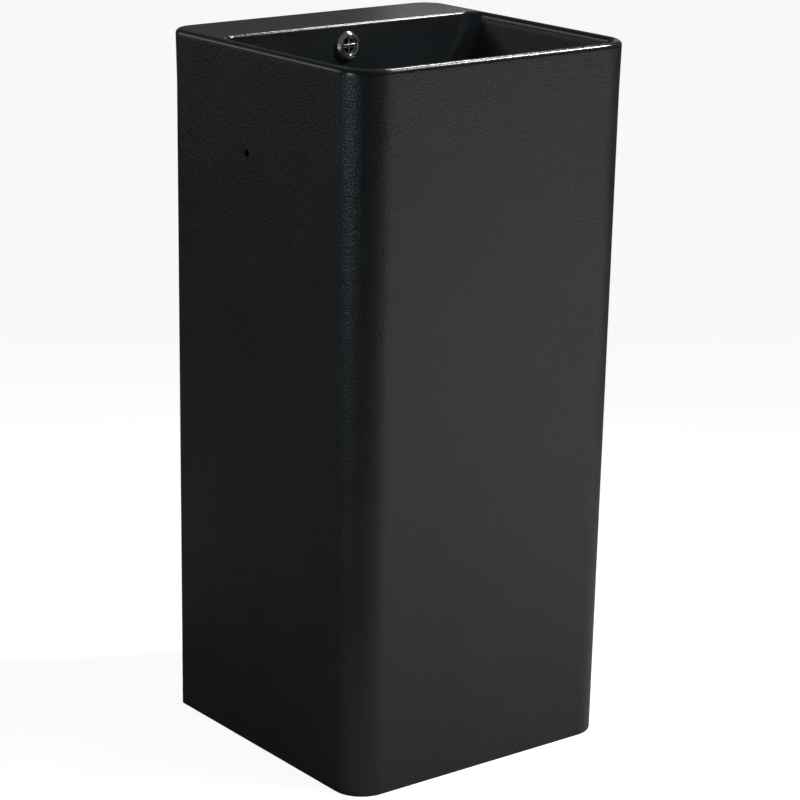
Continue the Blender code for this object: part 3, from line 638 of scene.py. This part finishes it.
def voidMesh():
    # space inside the column: the inner skin without the basin's underside, boss and duct
    level = np.concatenate((np.linspace(column["height"] - column["wall"], 0.02, 20), (-0.010,)))
    inner = gridMesh("void", outerLoops(np.maximum(level, 0), column["wall"], level))
    walls = basinWalls(column["wall"])
    top = walls[-1:] + (0, 0, 0.012)
    floorRing = circleLike(walls[0], column["seatRadius"], column["drainTop"] - column["wall"])
    underside = gridMesh("underside", np.vstack((floorRing, walls, top))[::-1])
    boss = turnedMesh("boss", [(0, 0.745), (column["bossRadius"], 0.745),
                               (column["bossRadius"], column["bossLow"]), (0, column["bossLow"])],
                      64, drainAxis)
    casing = pathTube("casing", ductPath(), overflow["duct"] + overflow["ductWall"], 28)
    return carved(inner, ((underside, "DIFFERENCE"), (boss, "DIFFERENCE"), (casing, "DIFFERENCE")))


def openingMesh():
    # arch outline in the back plane, grown near the outside by a quarter circle: flare (1 - cos a)
    steps = 12
    a = np.linspace(0, pi / 2, steps + 1)
    half, radius = opening["width"] / 2, opening["radius"]
    flareAngle = np.linspace(0, pi / 2, 6)[1:]
    grow = np.concatenate(((0, 0), opening["flare"] * (1 - np.cos(flareAngle)) * 0.8, (opening["flare"] * 0.8,)))
    depth = np.concatenate(((-0.022, -opening["flare"]), -opening["flare"] * (1 - np.sin(flareAngle)), (0.010,)))
    grown = grow[:, None]
    right = np.stack((half - radius + (radius + grown) * np.cos(a), opening["top"] - radius
                      + (radius + grown) * np.sin(a)), axis=-1)
    left = np.stack((-right[:, ::-1, 0], right[:, ::-1, 1]), axis=-1)
    rise = np.linspace(-0.02, opening["top"] - radius, 12)[None, :-1]
    upRight = np.stack((half + grown + 0 * rise, rise + 0 * grown), axis=-1)
    downLeft = np.stack((-upRight[:, ::-1, 0], upRight[:, ::-1, 1]), axis=-1)
    outline = np.concatenate((upRight, right, left, downLeft), axis=1)
    grid = np.stack((outline[..., 0], column["back"] + depth[:, None] + 0 * outline[..., 0], outline[..., 1]),
                    axis=-1)
    return gridMesh("opening", grid)


overflowOrigin = (overflow["x"], backWallAt(overflow["z"]), overflow["z"])
overflowTurn = (pi / 2 - atan(column["backSlope"]), 0, 0)


def faced(mesh, clayed=False):
    # both ceramic finishes on the mesh, with all its faces in the raw clay if clayed
    mesh.materials.append(finishes["glaze"])
    mesh.materials.append(finishes["clay"])
    if clayed:
        mesh.polygons.foreach_set("material_index", np.ones(len(mesh.polygons), np.int32))
    return mesh


def makeCeramic():
    hole = overflow["hole"]
    overflowHole = stoodAt(turnedMesh("hole", [
        (0, 0.010), (hole + 0.0008, 0.010), (hole + 0.0008, 0.0003), (hole, -0.0008), (hole, -0.0135), (0, -0.0135)],
        40, (0, 0, 0)), overflowOrigin, overflowTurn)
    r, flare = sideHole["radius"], sideHole["flare"]
    skinAtHole = column["rim"] / 2 \
        - 0.5 * (column["rim"] - column["footWidth"]) * (1 - sideHole["z"] / column["height"])
    a = np.linspace(0, pi / 2, 7)
    mouth = np.stack((r + flare * (1 - np.sin(a)), 0.0003 - flare * (1 - np.cos(a)) * 1.2), axis=-1)
    vent = stoodAt(turnedMesh("vent", np.vstack((
        [(0, 0.012), (r + flare, 0.012)], mouth, [(r, -sideHole["depth"]), (0, -sideHole["depth"])])), 32, (0, 0, 0)),
        (-skinAtHole, sideHole["y"], sideHole["z"]), (0, -pi / 2, 0))
    duct = pathTube("duct", ductPath(), overflow["duct"], 24)
    cutters = [(faced(voidMesh(), True), "DIFFERENCE"), (faced(openingMesh()), "DIFFERENCE"),
               (faced(duct, True), "DIFFERENCE"), (faced(overflowHole), "DIFFERENCE"), (faced(vent), "DIFFERENCE")]
    piece = addPiece("glazedBody", carved(faced(ceramicSkin()), cutters), "glaze", "ceramic_body", sharp=38)
    piece.modifiers.new("evenShading", "WEIGHTED_NORMAL").keep_sharp = True


makeCeramic()
print("ceramic body made")


ringSettings = {
    "flange": 0.0165, "bore": 0.0098, "tail": 0.0094, "proud": 0.0055, "steps": 112,
    "levelBar": (0.0021, 0.0008, 0.0036), "upright": (0.0014, 0.0006, 0.0028),
}


def barMesh(length, half, low, high, across, foot=(0, 0, 0), power=0.5, steps=24, rows=9):
    # straight bar; its section is a superellipse, half cos a ^ power by half height sin a ^ power
    # with the signs kept, so its edges are soft
    angle = 2 * pi * np.arange(steps) / steps
    u, v = (np.sign(wave) * np.abs(wave) ** power for wave in (np.cos(angle), np.sin(angle)))
    u, v = u * half, v * (high - low) / 2 + (high + low) / 2
    run = np.linspace(-length, length, rows)[:, None]
    sides = (run + 0 * u, -u + 0 * run) if across else (u + 0 * run, run + 0 * u)
    return gridMesh("bar", np.stack((*sides, v + 0 * run), axis=-1) + foot)


def makeOverflow():
    s = ringSettings
    bore, flange, tail, proud = s["bore"], s["flange"], s["tail"], s["proud"]
    profile = softProfile([
        (bore + 0.0010, proud), (bore + 0.0032, proud), (bore + 0.0046, proud - 0.0012), (flange - 0.0008, 0.0020),
        (flange, 0.0011), (flange, 0.0003), (tail, 0.0003), (tail, -0.0100), (tail - 0.0010, -0.0100),
        (tail - 0.0010, 0.0004), (bore, 0.0004), (bore, proud - 0.0010)], 0.0009, 4)
    ring = turnedMesh("ring", profile, s["steps"], (0, 0, 0))
    reach = bore + 0.0008
    level = barMesh(reach, *s["levelBar"], True)
    upright = barMesh(reach, *s["upright"], False)
    ring = carved(ring, ((level, "UNION"), (upright, "UNION")))
    addPiece("overflowRing", stoodAt(ring, overflowOrigin, overflowTurn), "chromeRing", "overflow_ring")
    outer, inner = overflow["hole"] - 0.0003, tail + 0.0003
    # grip ribs round the rubber sleeve: radius eases in by a wave along its length
    sleeve = turnedMesh("sleeve", denser(softProfile([
        (outer, -0.0008), (outer, -0.0090), (inner, -0.0090), (inner, -0.0008)], 0.0003), 0.0004), 64, (0, 0, 0),
        shape=lambda r, a, h: np.where(r > outer - 1e-4, r - 0.00018 * (0.5 + 0.5 * np.sin(h * 2 * pi / 0.0022)), r))
    addPiece("overflowSleeve", stoodAt(sleeve, overflowOrigin, overflowTurn), "rubber", "overflow_sleeve")


makeOverflow()
print("overflow ring made")


waste = {
    "flange": 0.0315, "tail": 0.0210, "bore": 0.0185, "length": 0.1037, "flangeUnder": 0.1011,
    "threadTop": 0.062, "threadPitch": 0.0021, "threadDepth": 0.0007, "web": 0.0510, "slot": (0.0740, 0.0910),
    "around": 0.0213, "acrossFlats": 0.055,
}


def threaded(radius, angle, height, limit, low, high, pitch, depth):
    # radius drops by a triangle wave of (height / pitch - angle / one turn), fading at both ends
    phase = (height / pitch - angle / (2 * pi)) % 1.0
    wave = np.abs(2 * phase - 1)
    fade = np.clip((height - low) / pitch, 0, 1) * np.clip((high - height) / pitch, 0, 1)
    return np.where(radius > limit, radius - depth * wave * fade, radius)


def ribbed(radius, angle, limit, count, depth, height, low, high):
    # shallow scallops between ribs: depth * (0.5 - 0.5 cos(count * angle)) squared
    scallop = (0.5 - 0.5 * np.cos(count * angle)) ** 2
    fade = np.clip((height - low) / 0.0012, 0, 1) * np.clip((high - height) / 0.0012, 0, 1)
    return np.where(radius > limit, radius - depth * scallop * fade, radius)


def makeWaste():
    w = waste
    foot = cadFoot("waste_body")
    profile = softProfile([
        (w["flange"] - 0.0012, w["length"]), (w["flange"], w["length"] - 0.0012), (w["flange"], w["flangeUnder"]),
        (w["tail"], w["flangeUnder"]), (w["tail"], 0), (w["bore"], 0), (w["bore"], w["flangeUnder"] - 0.001),
        (w["bore"] + 0.004, w["length"])], 0.0012, 4)
    body = turnedMesh("waste", denser(profile, w["threadPitch"] / 5), 72, foot, shape=lambda r, a, h: threaded(
        r, a, h, w["tail"] - 2e-4, 0.001, w["threadTop"], w["threadPitch"], w["threadDepth"]))
    web = barMesh(w["bore"] + 0.001, 0.002, w["web"] - 0.004, w["web"], True, foot)
    hub = turnedMesh("hub", softProfile([(0, w["web"]), (0.005, w["web"]), (0.005, w["web"] - 0.006),
                                         (0, w["web"] - 0.006)], 0.0006), 32, foot)
    slotCutter = barMesh(0.026, 0.0065, *w["slot"], False, foot, power=0.4, steps=32, rows=3)
    addPiece("wasteBody", carved(body, ((web, "UNION"), (hub, "UNION"), (slotCutter, "DIFFERENCE"))), "chromeWaste",
             "waste_body")

    around = w["around"]
    for name, node, outline, soft, finish in (
            ("wasteTopGasket", "waste_top_gasket", [(0.0305, 0.0015), (0.0305, 0), (around, 0), (around, 0.0015)],
             0.0006, "rubber"),
            ("wasteLowerGasket", "waste_lower_gasket", [(0.033, 0.007), (0.030, 0), (around, 0), (around, 0.007)],
             0.0012, "rubber"),
            ("wasteThrustWasher", "waste_thrust_washer", [(0.033, 0.0015), (0.033, 0), (around, 0),
                                                           (around, 0.0015)], 0.0004, "plastic")):
        addTurned(name, node, softProfile(outline, soft, 4), 72, finish)

    # hexagon: radius held to (across flats / 2) / cos of the angle from the nearest flat
    halfFlats = w["acrossFlats"] / 2
    corner, crown = halfFlats / cos(pi / 6), halfFlats - 0.0006
    outline = denser(softProfile([(crown, 0.010), (corner, 0.0076), (corner, 0.0024), (crown, 0),
                                  (around + 0.0008, 0), (around, 0.0008), (around, 0.0092), (around + 0.0008, 0.010)],
                                 0.0003, 2), 0.0008)
    addTurned("wasteBacknut", "waste_backnut", outline, 144, "brass", shape=lambda r, a, h: np.minimum(
        r, halfFlats / np.cos((a + pi / 6) % (pi / 3) - pi / 6)))


plug = {
    "domeFall": 0.0042, "domePower": 2.4, "pad": 0.012,
    "sealRadius": 0.0190, "sealBore": 0.0125, "sealHeight": 0.0030,
    "rod": 0.0035, "pistonHeight": 0.0030, "shellWall": 0.0015, "neck": 0.0041, "end": 0.004,
    "wire": 0.0005, "coils": 5.0, "travel": 0.008,
}


def makePlug():
    # cap: dome height falls with a power of the radius, then rolls under its edge
    low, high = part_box("plug_cap")
    radius, rise, pad = (high[0] - low[0]) / 2, high[2] - low[2], plug["pad"]
    r = np.linspace(0, radius - 0.0006, 18)
    dome = np.stack((r, rise - plug["domeFall"] * (r / radius) ** plug["domePower"]), axis=-1)
    edge = softProfile(np.vstack((dome[-2:], [(radius, 0.0014), (radius, 0.0004), (radius - 0.0006, 0), (pad, 0)])),
                       0.0008, 4)[7:-6]
    cap = np.vstack((dome[:-1], edge, [(pad, 0), (0, 0)]))
    addTurned("plugCap", "plug_cap", cap, 96, "chromeWaste", "plug", sharp=50)
    outer, bore, tall = plug["sealRadius"], plug["sealBore"], plug["sealHeight"]
    addTurned("plugSeal", "plug_seal", softProfile([
        (outer, tall), (outer, 0.0022), (outer - 0.0012, 0.0006), (outer - 0.0020, 0), (bore, 0), (bore, tall)],
        0.0005), 72, "rubber", "plug")
    low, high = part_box("plug_stem")
    tall, piston, rod, foot = high[2] - low[2], (high[0] - low[0]) / 2, plug["rod"], plug["pistonHeight"]
    addTurned("plugStem", "plug_stem", softProfile([
        (0, tall), (rod, tall), (rod, foot + 0.0008), (rod + 0.0007, foot), (piston, foot), (piston, 0.0019),
        (piston - 0.0006, 0.0019), (piston - 0.0006, 0.0011), (piston, 0.0011), (piston, 0), (0, 0)], 0.0003),
        48, "brass", "plug")
    low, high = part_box("plug_cartridge")
    tall, outer, end, neck = high[2] - low[2], (high[0] - low[0]) / 2, plug["end"], plug["neck"]
    inside, waist = outer - plug["shellWall"], outer - 0.0005
    addTurned("plugCartridge", "plug_cartridge", softProfile([
        (0, end), (inside, end), (inside, tall - end), (neck, tall - end), (neck, tall), (outer - 0.0008, tall),
        (outer, tall - 0.0008), (outer, tall - 0.006), (waist, tall - 0.0066), (waist, 0.0060), (outer, 0.0054),
        (outer, 0), (0, 0)], 0.0003), 64, "brass")

    # spring: helix whose rise eases to nothing in its closed end coils
    low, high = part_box("plug_spring")
    wire, tall = plug["wire"], high[2] - low[2]
    coilRadius = (high[0] - low[0]) / 2 - wire
    share = np.linspace(0, 1, 260)
    lift = np.interp(share, (0, 0.13, 0.87, 1), (0, 0.03, 0.97, 1))
    turn = 2 * pi * plug["coils"] * share
    path = np.stack((coilRadius * np.cos(turn), drainY + coilRadius * np.sin(turn),
                     low[2] + wire + (tall - 2 * wire) * lift), axis=-1)
    spring = addPiece("plugSpring", pathTube("plugSpring", path, wire * 0.96, 12, side=(0, 0, 1)), "spring",
                      "plug_spring", sharp=60)
    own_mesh(spring)


makeWaste()
makePlug()
print("waste and plug made")


trap = {
    "tube": 0.016, "tubeWall": 0.0015, "gap": 0.0003, "flange": 0.0205, "mouth": 0.0205, "body": 0.0295,
    "ribs": 32, "ribDepth": 0.0007, "outletFace": 0.046, "outletHeight": 0.5400, "threadPitch": 0.0030,
    "threadDepth": 0.0008, "rosette": 0.0375, "rosetteRise": 0.010, "unionNut": 0.0255, "unionTail": 0.0213,
    "nut": 0.0250, "nutHeight": 0.0195, "nutFloor": 0.0163, "cone": (0.0195, 0.0180, 0.0037), "cupWall": 0.0030,
    "skirtEnd": 0.506,
}


def makePipes():
    tube, bore, gap, flange = trap["tube"], trap["tube"] - trap["tubeWall"], trap["gap"], trap["flange"]
    addTurned("unionWasher", "trap_union_washer", softProfile(
        [(flange, 0.002), (flange, 0), (tube, 0), (tube, 0.002)], 0.0007, 4), 64, "rubber")
    low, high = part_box("trap_inlet_tube")
    tall = high[2] - low[2]
    inlet = softProfile([(flange, tall), (flange, tall - 0.002), (tube + 0.0008, tall - 0.002),
                         (tube, tall - 0.0034), (tube, 0), (bore, 0), (bore, tall)], 0.0006)
    addTurned("inletTube", "trap_inlet_tube", denser(inlet, 0.004), 72, "plastic")
    low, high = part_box("trap_outlet_pipe")
    length = high[1] - low[1]
    pipe = softProfile([(tube, length), (tube, 0), (bore, 0), (bore, length)], 0.0005)
    addTurned("outletPipe", "trap_outlet_pipe", denser(pipe, 0.005), 72, "plastic", along="back")
    rosette, rise = trap["rosette"], trap["rosetteRise"]
    a = np.linspace(0, 1, 12)
    # cover: height eases from the collar to the thin edge by half a cosine
    slope = np.stack((tube + 0.0030 + (rosette - tube - 0.0038) * a, 0.0014 + (rise - 0.0014)
                      * (0.5 + 0.5 * np.cos(pi * a ** 0.8))), axis=-1)
    cover = np.vstack((slope, [(rosette, 0.0010), (rosette, 0.0002), (rosette - 0.0002, 0), (tube + gap, 0),
                               (tube + gap, rise - 0.0005), (tube + gap + 0.0005, rise)]))
    addTurned("wallRosette", "wall_rosette", cover, 112, "plastic", along="front", sharp=50)


def ringNut(name, node, outer, outline, along, low, high):
    shape = lambda r, a, h: ribbed(r, a, outer - 0.0004, trap["ribs"], trap["ribDepth"], h, low, high)
    addTurned(name, node, denser(softProfile(outline, 0.0008), 0.0011), 192, "plastic", along=along, shape=shape)


def makeNuts():
    tube, mouth, gap = trap["tube"], trap["mouth"], trap["gap"]
    low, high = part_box("trap_union_nut")
    tall, nut, tail = high[2] - low[2], trap["unionNut"], trap["unionTail"]
    ringNut("unionNut", "trap_union_nut", nut, [
        (nut - 0.0012, tall), (nut, tall - 0.0012), (nut, 0.0012), (nut - 0.0012, 0), (tube + gap, 0),
        (tube + gap, 0.0025), (tail, 0.0025), (tail, tall)], "up", 0.0012, tall - 0.0012)
    # heights run from the open end over the thread to the closed end that squeezes the cone
    nut, tall, floorAt = trap["nut"], trap["nutHeight"], trap["nutFloor"]
    wide, narrow, rise = trap["cone"]
    for prefix, along in (("inlet", "up"), ("outlet", "back")):
        ringNut(f"{prefix}Nut", f"trap_{prefix}_nut", nut, [
            (nut - 0.0012, tall), (nut, tall - 0.0012), (nut, 0.0004), (nut - 0.0004, 0), (mouth + gap, 0),
            (mouth + gap, floorAt), (tube + gap, floorAt), (tube + gap, tall)], along, 0.0008, tall - 0.0012)
        cone = softProfile([(narrow, rise), (wide, 0.0016), (wide, 0), (tube + gap, 0), (tube + gap, rise)], 0.0005)
        addTurned(f"{prefix}Cone", f"trap_{prefix}_cone", cone, 64, "rubber", along=along)


def makeTrapBody():
    tube, mouth, outer, gap = trap["tube"], trap["mouth"], trap["body"], trap["gap"]
    pitch, depth, limit = trap["threadPitch"], trap["threadDepth"], trap["mouth"] - 2e-4
    low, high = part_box("trap_body")
    base = low[2]
    collar, shoulder, skirt = high[2] - base, 0.562 - base, trap["skirtEnd"] - base
    sleeve, sleeveBore, wall = 0.0185, tube + gap, 0.0025
    inside = outer - wall
    outline = softProfile([
        (mouth, collar), (mouth, shoulder + 0.0045), (mouth + 0.0030, shoulder + 0.0018), (outer - 0.0045, shoulder),
        (outer, shoulder - 0.0045), (outer, skirt), (inside, skirt), (inside, shoulder - 0.005),
        (sleeve, shoulder - 0.003), (sleeve, 0), (sleeveBore, 0), (sleeveBore, collar)], 0.0022, 5)
    body = turnedMesh("trapBody", denser(outline, 0.0012), 96, (0, drainY, base), shape=lambda r, a, h: np.where(
        r < mouth + 2e-4, threaded(r, a, h, limit, collar - 0.0135, collar - 0.0008, pitch, depth), r))
    outletFoot = np.array((0, drainY, trap["outletHeight"]))
    start, face = outer - 0.0055, trap["outletFace"]
    spigot = denser(softProfile([(0, face), (mouth, face), (mouth, start), (0, start)], 0.0006), 0.0012)
    mouthMesh = turnedMesh("mouth", spigot, 96, outletFoot, "back", shape=lambda r, a, h: threaded(
        r, a, h, limit, outer + 0.002, face - 0.0008, pitch, depth))
    boreMesh = turnedMesh("bore", [(0, face + 0.010), (sleeveBore, face + 0.010), (sleeveBore, sleeve + 0.003),
                                   (0, sleeve + 0.003)], 96, outletFoot, "back")
    addPiece("trapBody", carved(body, ((mouthMesh, "UNION"), (boreMesh, "DIFFERENCE"))), "plastic", "trap_body")


def makeTrapCup():
    low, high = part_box("trap_cup")
    tall = high[2] - low[2]
    inside, well = trap["body"] + 0.0006, trap["body"] - 0.0030
    outside = inside + trap["cupWall"]
    seat = trap["skirtEnd"] - 0.003 - 0.0006 - low[2]
    outline = softProfile([
        (0, 0.003), (well - 0.006, 0.003), (well, 0.009), (well, seat), (inside, seat), (inside, tall),
        (outside, tall), (outside, seat - 0.004), (well + 0.003, seat - 0.007), (well + 0.003, 0.008),
        (well - 0.005, 0), (0, 0)], 0.0016, 4)

    def grip(r, a, h):
        # ribs round the collar, and under it twelve wings: (0.5 - 0.5 cos 12 a) cubed, faded at both ends
        r = ribbed(r, a, outside - 0.0004, 36, 0.0008, h, seat - 0.003, tall - 0.001)
        ledge = (r < outside - 0.001) & (r > well + 0.0022)
        wings = 0.0010 * (0.5 - 0.5 * np.cos(12 * a)) ** 3 * np.clip((h - 0.012) / 0.004, 0, 1) \
            * np.clip((seat - 0.010 - h) / 0.004, 0, 1)
        return np.where(ledge, r - wings, r)

    addTurned("trapCup", "trap_cup", denser(outline, 0.0016), 216, "plastic", "trap_cup", shape=grip)
    low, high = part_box("trap_cup_seal")
    outer, bore, thick = 0.0292, 0.0269, 0.0024
    seal = softProfile([(outer, thick), (outer, 0), (bore, 0), (bore, thick)], 0.0009, 5)
    seal[:, 1] *= (high[2] - low[2]) / thick
    addTurned("trapCupSeal", "trap_cup_seal", seal, 72, "rubber", "trap_seal")


makePipes()
makeNuts()
makeTrapBody()
makeTrapCup()
print("trap made")


studio = {
    "floorReach": 40.0, "floorWhite": 0.45, "floorGrey": 0.38, "floorGlow": 0.90,
    "worldWhite": 1.0, "worldFill": (0.083, 0.088, 0.092),
}
lights = {
    "keyRight": {"place": (1.75, -0.75, 2.75), "aim": (0.1, -0.1, 0.75), "size": (0.3, 0.3), "watts": 6.5,
                 "spread": 60, "colour": (1.0, 0.985, 0.955)},
    "rimGlint": {"place": (1.45, 0.75, 2.75), "aim": (-0.05, 0, 0.85), "size": (0.35, 0.35), "watts": 0.27,
                 "spread": 14, "colour": (1.0, 0.99, 0.97)},
    "poolNear": {"place": (0.75, -1.2, 1.5), "aim": (0.75, -1.2, 0), "size": (1.0, 1.0), "watts": 21,
                 "spread": 110, "colour": (1.0, 0.99, 0.93)},
    "poolFar": {"place": (2.1, -2.9, 1.8), "aim": (2.1, -2.9, 0), "size": (1.6, 1.6), "watts": 113,
                "spread": 110, "colour": (1.0, 0.99, 0.93)},
    "leftStrip": {"place": (-2.6, 0.0, 0.95), "aim": (0, 0, 0.75), "size": (0.4, 0.5), "watts": 2.8,
                  "spread": 90, "colour": (0.66, 0.83, 1.0)},
    "backRight": {"place": (2.9, 2.8, 1.5), "aim": (0, 0, 0.85), "size": (1.4, 1.0), "watts": 0.45,
                  "spread": 120, "colour": (1.0, 0.98, 0.92)},
    "backLeft": {"place": (-1.9, 2.6, 1.45), "aim": (0, 0, 0.8), "size": (1.6, 1.3), "watts": 0.85,
                 "spread": 60, "colour": (0.98, 1.0, 0.97)},
}


def addFloor():
    reach = studio["floorReach"]
    material = bpy.data.materials.new("paleFloor")
    material.use_nodes = True
    tree = material.node_tree
    tree.nodes.clear()
    place = tree.nodes.new("ShaderNodeTexCoord").outputs["Object"]
    mottle = addNode(tree, "ShaderNodeTexNoise", None, Vector=place, Scale=0.8, Detail=2.0)
    grey = spread(tree, mottle.outputs["Fac"], 0.3, 0.7, 0.97, 1.03)
    pale = [calc(tree, "MULTIPLY", grey, studio[key]) for key in ("floorWhite", "floorGrey")]
    seen, bounced = (addNode(tree, "ShaderNodeBsdfDiffuse", None, Color=addNode(
        tree, "ShaderNodeCombineColor", None, Red=v, Green=v, Blue=v).outputs[0]) for v in pale)
    glow = addNode(tree, "ShaderNodeEmission", None, Strength=studio["floorGlow"])
    bright = addNode(tree, "ShaderNodeAddShader", None, i0=seen.outputs[0], i1=glow.outputs[0])
    straight = tree.nodes.new("ShaderNodeLightPath").outputs["Is Camera Ray"]
    both = addNode(tree, "ShaderNodeMixShader", None, i0=straight, i1=bounced.outputs[0], i2=bright.outputs[0])
    tree.links.new(both.outputs[0], tree.nodes.new("ShaderNodeOutputMaterial").inputs["Surface"])
    mesh = bpy.data.meshes.new("floor")
    mesh.from_pydata([(-reach, -reach, 0), (reach, -reach, 0), (reach, reach, 0), (-reach, reach, 0)], [],
                     [(0, 1, 2, 3)])
    mesh.materials.append(material)
    floor = bpy.data.objects.new("floor", mesh)
    bpy.context.scene.collection.objects.link(floor)


def addLights():
    for name, light in lights.items():
        data = bpy.data.lights.new(name, "AREA")
        data.shape = "RECTANGLE"
        data.size, data.size_y = light["size"]
        data.energy = light["watts"]
        data.color = light["colour"]
        data.spread = radians(light["spread"])
        lamp = bpy.data.objects.new(name, data)
        lamp.location = light["place"]
        lamp.rotation_euler = (Vector(light["place"]) - Vector(light["aim"])).to_track_quat("Z", "Y").to_euler()
        bpy.context.scene.collection.objects.link(lamp)


def addWorld():
    world = bpy.data.worlds.new("studio")
    world.use_nodes = True
    tree = world.node_tree
    tree.nodes.clear()
    white = addNode(tree, "ShaderNodeBackground", None, Strength=studio["worldWhite"])
    white.inputs["Color"].default_value = (1, 1, 1, 1)
    fill = addNode(tree, "ShaderNodeBackground", None, Strength=1.0)
    fill.inputs["Color"].default_value = (*studio["worldFill"], 1)
    straight = tree.nodes.new("ShaderNodeLightPath").outputs["Is Camera Ray"]
    both = addNode(tree, "ShaderNodeMixShader", None, i0=straight, i1=fill.outputs[0], i2=white.outputs[0])
    tree.links.new(both.outputs[0], tree.nodes.new("ShaderNodeOutputWorld").inputs["Surface"])
    bpy.context.scene.world = world


addFloor()
addLights()
addWorld()
print("studio set")
